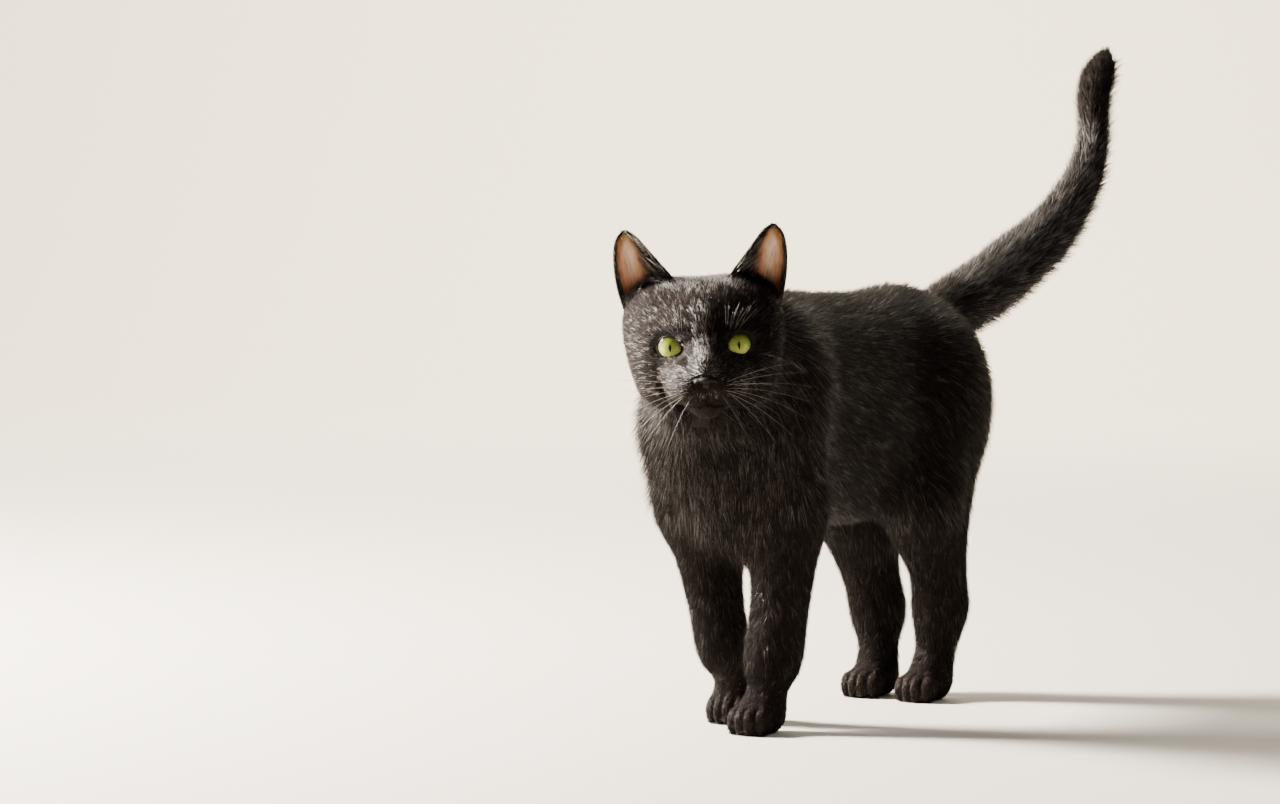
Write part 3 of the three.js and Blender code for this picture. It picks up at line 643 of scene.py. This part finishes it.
# Painted sheen and painted shade, given as the locks' tone: greyer where the strongest light falls, on the
# crown, the bridge of the nose, the tail's upper side and the right front; blacker where shade falls, at the
# tail's tip, on the chin and before the ears; also blacker round the eyes.
painted_sheen_and_shade = (
    # painted sheen of the light on the crown and on the bridge of the nose
    0.45 * smoothstep(20, 29, at[:, 2]) * smoothstep(27, 18, np.abs(at[:, 0])) * (np.abs(at[:, 1]) < 40)
    + 0.2 * smoothstep(7, 4, np.abs(at[:, 0])) * smoothstep(-27, -32, at[:, 1])
    # painted light on the tail's upper side, painted shade at its tip
    + (0.15 * smoothstep(0.1, 0.6, outward[:, 2] - outward[:, 1]) * smoothstep(42, 70, to_tip)
       - 0.25 * smoothstep(60, 40, to_tip)) * (kind_at == "tail")
    # painted sheen on the right front, the side that faces the strongest light
    + 0.08 * smoothstep(0.3, 0.8, facing) * np.isin(kind_at, ("neck", "chest", "foreleg", "shank"))
    # painted shade under the chin and before the ears' roots
    - 0.5 * smoothstep(-28, -33, at[:, 2]) * (at[:, 1] < -10)
    - 0.1 * ear_side
    - 0.15 * smoothstep(12, 9.5, to_eye) * (at[:, 1] < -10)
)[corner]

# Tips stand off further under the tail, on the back of the rump and down the right front.
fluffed = (
    1
    + 1.2 * smoothstep(0.1, 0.7, outward[:, 1] - outward[:, 2]) * (places[:, 1] > 0.08)
    + 1.6 * smoothstep(0.2, 0.8, facing) * np.isin(kind_at, ("neck", "chest")) * (places[:, 2] > 0.1)
)[corner]
density, length, width, proud, grey = coat_of.T
# Each lock's tone carries its part's own greyness plus the painted sheen and painted shade above.
for name, kinds in COAT_PIECES.items():
    grow(
        name, body, density * furred * np.isin(kind_of, kinds), length * longer * shorter, width, lie, depth,
        (proud + 0.6 * (longer - 1)) * fluffed,
        velvet_hair if name in ("coat_head", "coat_muzzle") else guard_hair, grey=grey + painted_sheen_and_shade)

# Longer hairs stand up before the ears and hide their roots.
ear_middle = np.sign(at[:, [0]]) * (40, 0, 0) + (0, -2, 56)
up_ear = unit(ear_middle - at) @ np.array(HEAD.to_3x3()).T
tufted = (smoothstep(0.45, 0.85, ear_side) * (at[:, 1] < 12))[body.corners].min(axis=1)
grow(
    "ear_root_fur", body, 3.5 * tufted, 10, 0.42, up_ear, depth, 2.0, velvet_hair, turn=0.3, clings=False,
    grey=-0.1)

# With its hairs rooted, the hide is thinned where it is flat.
HIDE_TRIANGLES = 195000
thin = hide.modifiers.new("thin", "DECIMATE")
thin.ratio = HIDE_TRIANGLES / sum(len(polygon.vertices) - 2 for polygon in hide.data.polygons)
only(hide)
bpy.ops.object.modifier_apply(modifier="thin")

# ---- Eyes ------------------------------------------------
# A hard polished ball with the iris in it: yellow-green, finely rayed, with a dark ring and an upright slit
# of a pupil, and painted shade of the upper lid that darkens it towards the top. Its map runs across and up
# the front of the ball, in millimetres.
iris, shader = new_material(
    "cat's eye", Roughness=0.4, IOR=1.376, Specular_IOR_Level=0.0,
    Coat_Weight=0.15, Coat_Roughness=0.02, Coat_IOR=1.376)
GAZE_HALF = 10  # mm from the middle of the eye's map to its edge
PUPIL = (0.62, 2.4, 1)  # its half width and half height
gaze = add(iris, "UVMap", uv_map="gaze")
offset = add(
    iris, "VectorMath", {0: gaze}, {1: [2 * GAZE_HALF] * 3, 2: (-GAZE_HALF, -GAZE_HALF, 0)},
    operation="MULTIPLY_ADD")
radius = add(iris, "VectorMath", {0: offset}, out="Value", operation="LENGTH")

# Rays: noise that is stretched from the pupil outwards.
spoke = add(iris, "VectorMath", {0: offset}, operation="NORMALIZE")
spoke = add(iris, "VectorMath", {0: spoke}, {"Scale": 9}, operation="SCALE")
rise = add(iris, "Math", {0: radius}, {1: 0.35}, operation="MULTIPLY")
rise = add(iris, "CombineXYZ", {"Z": rise})
spoke = add(iris, "VectorMath", {0: spoke, 1: rise})
rays = add(iris, "TexNoise", {"Vector": spoke}, {"Scale": 1.6, "Detail": 4})
rays = add(iris, "ValToRGB", {"Fac": rays}, stops=[(0.3, "#8a8f6a"), (0.7, "#ffffff")])
outwards = add(iris, "Math", {0: radius}, {1: GAZE_HALF}, operation="DIVIDE")
rings = add(iris, "ValToRGB", {"Fac": outwards}, stops=[
    (0.0, "#7c8740"), (0.15, "#98a352"), (0.42, "#b0b870"), (0.58, "#949f56"), (0.69, "#4c5630"),
    (0.77, "#0e100a")])
rayed = add(iris, "MixRGB", {"Color1": rings, "Color2": rays}, {"Fac": 0.8}, blend_type="MULTIPLY")

# Painted shade of the upper lid: the iris is darker towards the top.
height = add(iris, "SeparateXYZ", {"Vector": offset}, out="Y")
height = add(iris, "MapRange", {"Value": height}, {"From Min": -6, "From Max": 6})
painted_lid_shade = add(iris, "ValToRGB", {"Fac": height}, stops=[
    (0.0, "#fffbe6"), (0.4, "#eef0d8"), (0.75, "#a4ac80"), (1.0, "#444a2c")])
shaded = add(iris, "MixRGB", {"Color1": rayed, "Color2": painted_lid_shade}, {"Fac": 1.0}, blend_type="MULTIPLY")

# The pupil: 1 on its edge, which is a parabola on each side.
slit = add(iris, "VectorMath", {0: offset}, operation="ABSOLUTE")
slit = add(iris, "VectorMath", {0: slit}, {1: PUPIL}, operation="DIVIDE")
slit = add(iris, "SeparateXYZ", {"Vector": slit}, out=None)
upright = add(iris, "Math", {0: slit["Y"]}, {1: 2}, operation="POWER")
slit = add(iris, "Math", {0: slit["X"], 1: upright})
slit = add(iris, "MapRange", {"Value": slit}, {"From Min": 0.85, "From Max": 1.15})
eye_colour = add(iris, "MixRGB", {"Fac": slit, "Color2": shaded}, {"Color1": linear("#030303")})
iris.node_tree.links.new(eye_colour, shader.inputs["Base Color"])

# Bare moist skin: brown-black with a faint soft gloss.
wet_skin, _ = new_material(
    "moist black lid margin", Base_Color=linear("#0e0908"), Roughness=0.5, IOR=1.35, Specular_IOR_Level=0.1)
RING_RADIUS = 10  # of the torus that a lid margin is bent from


def finish_piece(obj):
    """Settles a finished piece: its place goes into its mesh, and it rides with the cat."""
    only(obj)
    bpy.ops.object.transform_apply(location=True, rotation=True, scale=True)
    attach(obj, "root")


for name, side in (("right", -1), ("left", 1)):
    bpy.ops.mesh.primitive_uv_sphere_add(
        segments=64, ring_count=40, radius=EYE["radius"], rotation=(math.radians(90), 0, 0))
    ball = bpy.context.object
    ball.name = "eyeball_" + name
    bpy.ops.object.transform_apply(rotation=True)
    own = coords(ball.data)
    ball.data.uv_layers[0].name = "gaze"
    corner = read(ball.data.loops, "vertex_index", kind=np.int32)
    tilt = side * math.radians(EYE["tilt"])
    untilt = np.array([[math.cos(tilt), math.sin(tilt)], [-math.sin(tilt), math.cos(tilt)]])
    upright = own[:, [0, 2]] @ untilt  # the pupil stands upright in the tilted eye
    ball.data.uv_layers["gaze"].data.foreach_set("uv", (upright[corner] / (2 * GAZE_HALF) + 0.5).ravel())
    set_coords(ball.data, from_head(out_of_eye(own, side)))
    ball.data.shade_smooth()
    ball.data.materials.append(iris)
    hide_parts("eye_" + name)
    finish_piece(ball)

    # The margin of the lids: a thin moist bead on the eyeball along the edge of the opening.
    bpy.ops.mesh.primitive_torus_add(
        major_segments=72, minor_segments=8, major_radius=RING_RADIUS, minor_radius=1)
    margin = bpy.context.object
    margin.name = "lid_margin_" + name
    ring = coords(margin.data)
    a = np.arctan2(ring[:, 1], ring[:, 0])
    about = np.stack([np.hypot(ring[:, 0], ring[:, 1]) - RING_RADIUS, ring[:, 2]], axis=1)
    outer = np.cos(a) * side > 0
    half = np.where(outer, LID["outer"], LID["inner"])
    power = np.where(outer, POINTED["outer"], POINTED["inner"])
    wide = half * np.cos(a)
    high = LID["height"] * np.sign(np.sin(a)) * np.abs(np.sin(a)) ** (2 / power)
    bead = EYE["radius"] + 0.1
    back = np.sqrt(bead ** 2 - wide ** 2 - high ** 2)
    middle = np.stack([wide, -back, high], axis=1)
    up = unit(middle)
    aside = unit(np.stack([np.cos(a) / half, 0 * a, np.sin(a) / LID["height"]], axis=1))
    aside = unit(aside - (aside * up).sum(1)[:, None] * up)
    own = middle + about[:, [0]] * aside * 0.75 + about[:, [1]] * up * 0.45
    set_coords(margin.data, from_head(out_of_eye(own, side)))
    edit_whole(margin, bpy.ops.mesh.normals_make_consistent, inside=False)
    margin.data.shade_smooth()
    margin.data.materials.append(wet_skin)
    finish_piece(margin)

# ---- Nose ------------------------------------------------
# Bare black leather, slightly moist and finely pebbled, with a comma-shaped nostril on each side. It is four
# rounded lumps run together, with the nostrils and the groove down to the lip pressed into them.


def joined(pieces, name):
    """Makes one piece of several, the last of which is active."""
    bpy.ops.object.select_all(action="DESELECT")
    for piece in pieces:
        piece.select_set(True)
    bpy.ops.object.join()
    bpy.context.object.name = name
    return bpy.context.object


# Its lumps, centre and half sizes: the middle, the ridge down to the lip, and a wing on each side.
NOSE = [((0, -46.2, -22), (5.4, 4.2, 2.4)), ((0, -46.6, -24.2), (3, 3.8, 2.6))]
NOSE += [((side * 4.3, -45.4, -22.7), (3, 3.9, 2.5)) for side in (-1, 1)]
lumps = []
for centre, radii in NOSE:
    bpy.ops.mesh.primitive_uv_sphere_add(segments=32, ring_count=20, radius=1, location=centre, scale=radii)
    lumps.append(bpy.context.object)
nose = joined(lumps, "nose_leather")
bpy.ops.object.transform_apply(location=True, rotation=True, scale=True)
nose.data.remesh_voxel_size = 0.42
bpy.ops.object.voxel_remesh()
smooth = nose.modifiers.new("smooth", "SMOOTH")
smooth.factor, smooth.iterations = 0.5, 12
bpy.ops.object.modifier_apply(modifier="smooth")
own = coords(nose.data)
NOSE_FRONT = -44  # only what lies before this is pressed in
# The nostril's pits, place and radius: they run together into a comma that turns out and down.
NOSTRIL = [(2.5, -24.6, 1.0), (3.4, -24.0, 1.15), (4.4, -23.7, 0.95), (5.6, -24.2, 0.6), (6.6, -25, 0.4)]
for x, z, r in NOSTRIL:
    off = np.hypot(np.abs(own[:, 0]) - x, own[:, 2] - z)
    own[:, 1] += 2.6 * r * np.exp(-(off / (0.75 * r)) ** 2) * (own[:, 1] < NOSE_FRONT)
groove = 0.5 * np.exp(-(own[:, 0] / 0.5) ** 2) * smoothstep(-22, -24, own[:, 2])
own[:, 1] += groove * (own[:, 1] < NOSE_FRONT)
set_coords(nose.data, from_head(own))
nose.data.shade_smooth()

# Bare skin with pebbles of 0.6 mm, whose moist tops catch small soft lights.
leather, shader = new_material(
    "black nose leather", Base_Color=linear("#0c0909"), Roughness=0.6, IOR=1.35, Specular_IOR_Level=0.25)
place = add(leather, "TexCoord", out="Object")
pebbles = add(leather, "TexVoronoi", {"Vector": place}, {"Scale": 1800})
bump = add(leather, "Bump", {"Height": pebbles}, {"Strength": 0.35, "Distance": 0.15 * MM})
leather.node_tree.links.new(bump, shader.inputs["Normal"])
nose.data.materials.append(leather)
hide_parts("nose")
finish_piece(nose)

# ---- Ears ------------------------------------------------
# Each ear is a thin cup of skin, bare and brown inside its outer half, furred on the fold of its inner edge,
# with short black fur on its back and rim. It is drawn between its two edges, given its thickness and rooted
# in the head.
EAR = {
    "lateral": [
        (34, 10, 0), (39.8, 7, 11.5), (44, 4, 24), (46, 2, 36), (46.2, 2, 46), (44.6, 2.4, 53),
        (40.6, 3, 57)],
    "medial": [
        (13, 3, 20), (16, -2, 30), (20.4, -3, 36), (25, -1, 41.6), (30, 0.6, 47.8), (34.8, 2, 53.6),
        (40.6, 3, 57)],
    "depth": 19,
}
EAR_WALL = 2.4 * MM


def through(points, t):
    """A smooth curve through the points, at the fractions t of the way."""
    p = np.array(points, float)
    p = np.vstack([2 * p[0] - p[1], p, 2 * p[-1] - p[-2]])
    at = np.clip(np.asarray(t, float) * (len(points) - 1), 0, len(points) - 1 - 1e-9)
    i = at.astype(int)
    f = (at - i)[:, None]
    a, b, c, d = p[i], p[i + 1], p[i + 2], p[i + 3]
    bend, twist = 2 * a - 5 * b + 4 * c - d, 3 * b - a - 3 * c + d
    return 0.5 * (2 * b + (c - a) * f + bend * f ** 2 + twist * f ** 3)


def ear_sheet(s, t, side):
    """The inner face of the ear cup: s from -1 to 1 between its edges, t from root to tip."""
    a, b = through(EAR["lateral"], 0.97 * t), through(EAR["medial"], 0.97 * t)
    across = b - a
    width = np.linalg.norm(across, axis=1)
    back = unit(np.stack([0.5 * across[:, 2], width, -0.5 * across[:, 0] - 0.6 * width * (1 - t)], axis=1))
    bulge = EAR["depth"] * (1 - 0.85 * t) * (1 - s * s)
    p = (a + b) / 2 - across * s[:, None] / 2 + back * bulge[:, None]
    return p * (side, 1, 1)


# Thin skin, orange brown and black at its rims, with the light shining through it painted in: palest, near
# white, in the middle of the cup.
lining, shader = new_material(
    "thin brown ear skin", Roughness=0.5, IOR=1.4, Subsurface_Weight=0.1, Subsurface_Scale=1.5 * MM)
cup = add(lining, "UVMap", uv_map="cup")
split = add(lining, "SeparateXYZ", {"Vector": cup}, out=None)
veins = add(lining, "TexNoise", {"Vector": cup}, {"Scale": 7, "Detail": 5})
wander = add(lining, "MapRange", {"Value": veins}, {"To Min": -0.12, "To Max": 0.12})
across = add(lining, "Math", {0: split["X"], 1: wander})
# painted glow of light through the ear, brightest a little out from the middle across the cup
across = add(lining, "ValToRGB", {"Fac": across}, stops=[
    (0.12, "#1c1512"), (0.26, "#6a4a38"), (0.4, "#e0ab84"), (0.58, "#ffe6d0"), (0.76, "#fbcfaa"),
    (0.88, "#cd946c"), (0.93, "#4a2f22"), (0.97, "#0c0a09")])
along = add(lining, "Math", {0: split["Y"], 1: wander})
# painted glow of light through the ear, near white halfway up; darker towards the root and the tip
along = add(lining, "ValToRGB", {"Fac": along}, stops=[
    (0.1, "#3c261b"), (0.24, "#d09468"), (0.4, "#fff4ea"), (0.6, "#ffffff"), (0.78, "#c4b68a"),
    (0.9, "#5c573a"), (0.97, "#15120f")])
skin = add(lining, "MixRGB", {"Color1": across, "Color2": along}, {"Fac": 1.0}, blend_type="MULTIPLY")
down = add(lining, "Mapping", {"Vector": cup}, {"Scale": (46, 5, 1)})  # fine down, tip to root
down = add(lining, "TexNoise", {"Vector": down}, {"Scale": 1, "Detail": 4})
down = add(lining, "ValToRGB", {"Fac": down}, stops=[(0.35, "#c9bfb6"), (0.65, "#ffffff")])
skin = add(lining, "MixRGB", {"Color1": skin, "Color2": down}, {"Fac": 1.0}, blend_type="MULTIPLY")
lining.node_tree.links.new(skin, shader.inputs["Base Color"])
pale_hair, _ = new_material("pale ear hair", Base_Color=linear("#8d857c"), Roughness=0.4, IOR=1.5)

for name, side in (("right", -1), ("left", 1)):
    bpy.ops.mesh.primitive_grid_add(x_subdivisions=30, y_subdivisions=36, size=2)
    ear = bpy.context.object
    ear.name = "ear_cup_" + name
    flat = coords(ear.data)
    s, t = flat[:, 0], (flat[:, 1] + 1) / 2
    ear.data.uv_layers[0].name = "cup"
    corner = read(ear.data.loops, "vertex_index", kind=np.int32)
    unrolled = np.stack([(s[corner] + 1) / 2, t[corner]], axis=1)
    ear.data.uv_layers["cup"].data.foreach_set("uv", unrolled.ravel())
    set_coords(ear.data, from_head(ear_sheet(s, t, side)))
    if side < 0:
        ear.data.flip_normals()
    thickness = ear.vertex_groups.new(name="thickness")
    for vertex, fraction in zip(ear.data.vertices, t):
        thickness.add([vertex.index], 1 - 0.6 * fraction, "REPLACE")
    ear.data.materials.append(lining)
    ear.data.materials.append(short_fur)
    wall = ear.modifiers.new("wall", "SOLIDIFY")
    wall.thickness, wall.offset, wall.vertex_group = EAR_WALL, -1, "thickness"
    wall.material_offset, wall.material_offset_rim = 1, 1
    rounding = ear.modifiers.new("rounding", "SUBSURF")
    rounding.levels = rounding.render_levels = 1
    only(ear)
    bpy.ops.object.modifier_apply(modifier="wall")
    bpy.ops.object.modifier_apply(modifier="rounding")
    edit_whole(ear, bpy.ops.mesh.quads_convert_to_tris)
    ear.data.shade_smooth()
    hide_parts("ear_" + name)
    finish_piece(ear)

    # Its fur: short on the back and rim, longer on the inner fold, fine and pale in the cup.
    skin_of_ear = Skin(ear.data, "cup", normals_of(ear.data))
    inside = read(ear.data.polygons, "material_index", kind=np.int32) == 0
    u, v = skin_of_ear.unwrap.mean(axis=1).T
    fold = smoothstep(0.32, 0.12, u) * inside
    at = to_head(skin_of_ear.places)
    upward = unit(np.array([side * 40.6, 3, 60]) - at)
    over_cup = np.tile(unit(np.array([side * 0.75, -0.35, 0.55])), (len(at), 1))
    to_cat = np.array(HEAD.to_3x3()).T
    level = np.full(len(at), 0.5)
    above = v > 0.08
    grow(
        "ear_back_fur_" + name, skin_of_ear, 2.6 * ~inside * above, 3.6 - 1.8 * v, 0.36,
        upward @ to_cat, level, 0.15, velvet_hair, grey=-0.3)
    grow(
        "ear_fold_fur_" + name, skin_of_ear, 2.4 * fold * above, 5.5, 0.36,
        (over_cup + upward) @ to_cat, level, 0.5, velvet_hair, turn=0.35, clings=False, grey=-0.2)
    grow(
        "ear_fine_hair_" + name, skin_of_ear, 0.8 * inside * (v > 0.2) * (v < 0.85), 6, 0.16,
        (over_cup * 0.4 + upward) @ to_cat, level * 0.6, 0.2, (pale_hair,), turn=0.3, clings=False)
    grow(
        "ear_guard_hair_" + name, skin_of_ear, 0.2 * fold * (v > 0.15) * (v < 0.75), 15, 0.15,
        over_cup @ to_cat, level * 4, 2.0, (pale_hair,), turn=0.35, clings=False)

# ---- Whiskers --------------------------------------------
# Stiff pale hairs that taper to nothing, in rows on the whisker pads, over the eyes and on the cheeks. Each
# is rooted a little under the head's surface and runs to its tip in one even bend.
WHISKERS = [
    # root (x, z), tip (x, y, z), how far its middle stands over the straight line, radius at the root
    ((13.0, -22.5), (46, -46, -15), 3, 0.1), ((16.0, -24.0), (54, -38, -21), 4, 0.1),
    ((18.5, -26.0), (57, -32, -29), 4, 0.09), ((12.0, -25.0), (44, -50, -28), 4, 0.1),
    ((15.0, -27.5), (56, -42, -37), 5, 0.1), ((18.0, -29.5), (52, -34, -45), 5, 0.09),
    ((11.0, -28.5), (38, -50, -42), 5, 0.1), ((14.0, -31.0), (46, -44, -55), 6, 0.1),
    ((16.5, -32.5), (36, -36, -58), 5, 0.09), ((9.5, -32.0), (24, -48, -61), 5, 0.05),
    ((37.0, -12.0), (54, -14, -22), 3, 0.07),
]
BROW_HAIRS = 11
for k in range(BROW_HAIRS):
    tip = (12 + 2 * k, -37 + 1.3 * k, 16 + 2.5 * math.sin(1.7 * k + 1))
    WHISKERS.append(((11 + k, 4 + 1.5 * math.sin(2.1 * k)), tip, 2, 0.05))
RINGS, SIDES = 9, 4
TIP_RADIUS = 0.02
whisker_hair, _ = new_material("pale whisker", Base_Color=linear("#66625c"), Roughness=0.4, IOR=1.5)
vertices, faces = [], []
for side in (-1, 1):
    for (x, z), tip, arch, root_radius in WHISKERS:
        root = settled(np.array([[x, -60 if z < -20 else -30, z]], float), -1.2)[0]
        tip = np.array(tip, float)
        middle = (root + tip) / 2 + (0, -3, arch)
        t = np.linspace(0, 1, RINGS)[:, None]
        line = (1 - t) ** 2 * root + 2 * t * (1 - t) * middle + t ** 2 * tip
        along = unit(np.gradient(line, axis=0))
        one = unit(np.cross(along, (0, 0, 1)))
        two = np.cross(along, one)
        thick = 0.8 * root_radius * (1 - t[:, 0]) ** 0.7 + TIP_RADIUS
        first = len(vertices)
        for k in range(RINGS):
            for j in range(SIDES):
                a = 2 * math.pi * j / SIDES
                p = line[k] + thick[k] * (math.cos(a) * one[k] + math.sin(a) * two[k])
                vertices.append(p * (side, 1, 1))
        for k in range(RINGS - 1):
            here, above = first + k * SIDES, first + (k + 1) * SIDES
            for j in range(SIDES):
                n = (j + 1) % SIDES
                faces.append([here + j, here + n, above + n, above + j])
        faces.append([first + j for j in range(SIDES)][::-1])
        faces.append([first + (RINGS - 1) * SIDES + j for j in range(SIDES)])
mesh = bpy.data.meshes.new("whiskers")
mesh.from_pydata(from_head(np.array(vertices)).tolist(), [], faces)
whiskers = placed("whiskers", mesh)
edit_whole(whiskers, bpy.ops.mesh.normals_make_consistent, inside=False)
whiskers.data.shade_smooth()
whiskers.data.materials.append(whisker_hair)
finish_piece(whiskers)

# ---- Paw pads --------------------------------------------
# Black leather cushions under each foot: one broad pad and four toe pads, that stand on the floor. Each is a
# flat oval, sunk for two thirds of its height into the sole.
PADS = [((0, 1.5), (7.0, 5.5))]
for toe in (-1.5, -0.5, 0.5, 1.5):
    PADS.append(((toe * TOE_SPACING, -13.5 - 3 * (1 - abs(toe) / 1.5)), (2.5, 3.5)))
PAD_MIDDLE, PAD_HALF_HEIGHT = 1.3, 1.1 * MM
cushions = []
for x, y in FEET.values():
    for (across_foot, along_foot), (half_width, half_length) in PADS:
        centre = Vector((x + across_foot, y + along_foot, PAD_MIDDLE)) * MM - MIDDLE
        bpy.ops.mesh.primitive_uv_sphere_add(
            segments=20, ring_count=12, radius=1, location=centre,
            scale=(half_width * MM, half_length * MM, PAD_HALF_HEIGHT))
        cushions.append(bpy.context.object)
pads = joined(cushions, "paw_pads")
pads.data.shade_smooth()
pads.data.materials.append(leather)
finish_piece(pads)

# ---- Floor, light and camera -----------------------------
# A plain pale floor that sweeps up into a wall behind the cat, a long lens before it and low, and four soft
# square lights: two from the cat's right, a weak one that fills the shade, and one for the wall.
FLOOR_SIDE, WALL_HEIGHT, SWEEP = 14, 7, 3.0
TURN, DROP = math.radians(30), math.radians(2.46)  # the way the camera looks, from +Y and from level
ACROSS = Vector((math.cos(TURN), math.sin(TURN), 0))
AHEAD = Vector((-math.sin(TURN), math.cos(TURN), 0))
UP = Vector((0, 0, 1))
LENS_AT = ACROSS * -0.0965 + AHEAD * -2.761 + UP * 0.3  # from the floor under the mid trunk
bpy.ops.mesh.primitive_plane_add(size=FLOOR_SIDE, location=(0, 0, 0), rotation=(0, 0, TURN))
floor = bpy.context.object
floor.name = "floor"
bpy.ops.object.transform_apply(rotation=True)
far = [all(floor.data.vertices[v].co @ AHEAD > 5 for v in edge.vertices) for edge in floor.data.edges]
edit_chosen(
    floor, "EDGE", floor.data.edges, far, bpy.ops.mesh.extrude_region_move,
    TRANSFORM_OT_translate={"value": (0, 0, WALL_HEIGHT)})
sweep = floor.modifiers.new("sweep", "BEVEL")
sweep.width, sweep.segments, sweep.limit_method = SWEEP, 24, "ANGLE"
only(floor)
bpy.ops.object.modifier_apply(modifier="sweep")
floor.data.shade_smooth()
floor_paint, _ = new_material("pale matt floor", Base_Color=linear("#9c978f"), Roughness=0.9)
floor.data.materials.append(floor_paint)

bpy.ops.object.camera_add(location=LENS_AT - MIDDLE)
camera = bpy.context.object
camera.data.lens = 135
camera.data.sensor_width = 36
camera.data.clip_end = 60
camera.rotation_euler = (math.radians(90) - DROP, 0, TURN)
bpy.context.scene.camera = camera


def soft_box(name, aim, toward, distance, size, power, colour):
    """A square light that looks at a place from a direction."""
    aim, toward = Vector(aim), Vector(toward).normalized()
    bpy.ops.object.light_add(type="AREA", location=aim + toward * distance)
    light = bpy.context.object
    light.name = name
    light.data.size = size
    light.data.energy = power
    light.data.color = linear(colour)[:3]
    light.rotation_euler = toward.to_track_quat("Z", "Y").to_euler()
    light.visible_glossy = name != "fill"  # the fill lifts the shade and leaves no glint


CAT = (0, -0.05, 0.18)
soft_box("key", CAT, -ACROSS * 0.95 + AHEAD * 0.2 + UP * 0.55, 2.2, 0.5, 850, "#fff6ea")
soft_box("side", CAT, -ACROSS + AHEAD * 0.25 + UP * 0.14, 2.4, 1.1, 430, "#fff8f0")
soft_box("fill", CAT, -AHEAD * 0.7 + ACROSS + UP * 1.3, 3.0, 2.0, 38, "#ffffff")
soft_box("backdrop", AHEAD * 5.6 + UP * 0.4, -AHEAD * 0.6 + UP, 3.2, 3.6, 1500, "#fff2dc")
world = bpy.data.worlds.new("studio")
world.use_nodes = True
sky = world.node_tree.nodes["Background"]
sky.inputs["Color"].default_value = linear("#f4efe8")
sky.inputs["Strength"].default_value = 0.21
bpy.context.scene.world = world
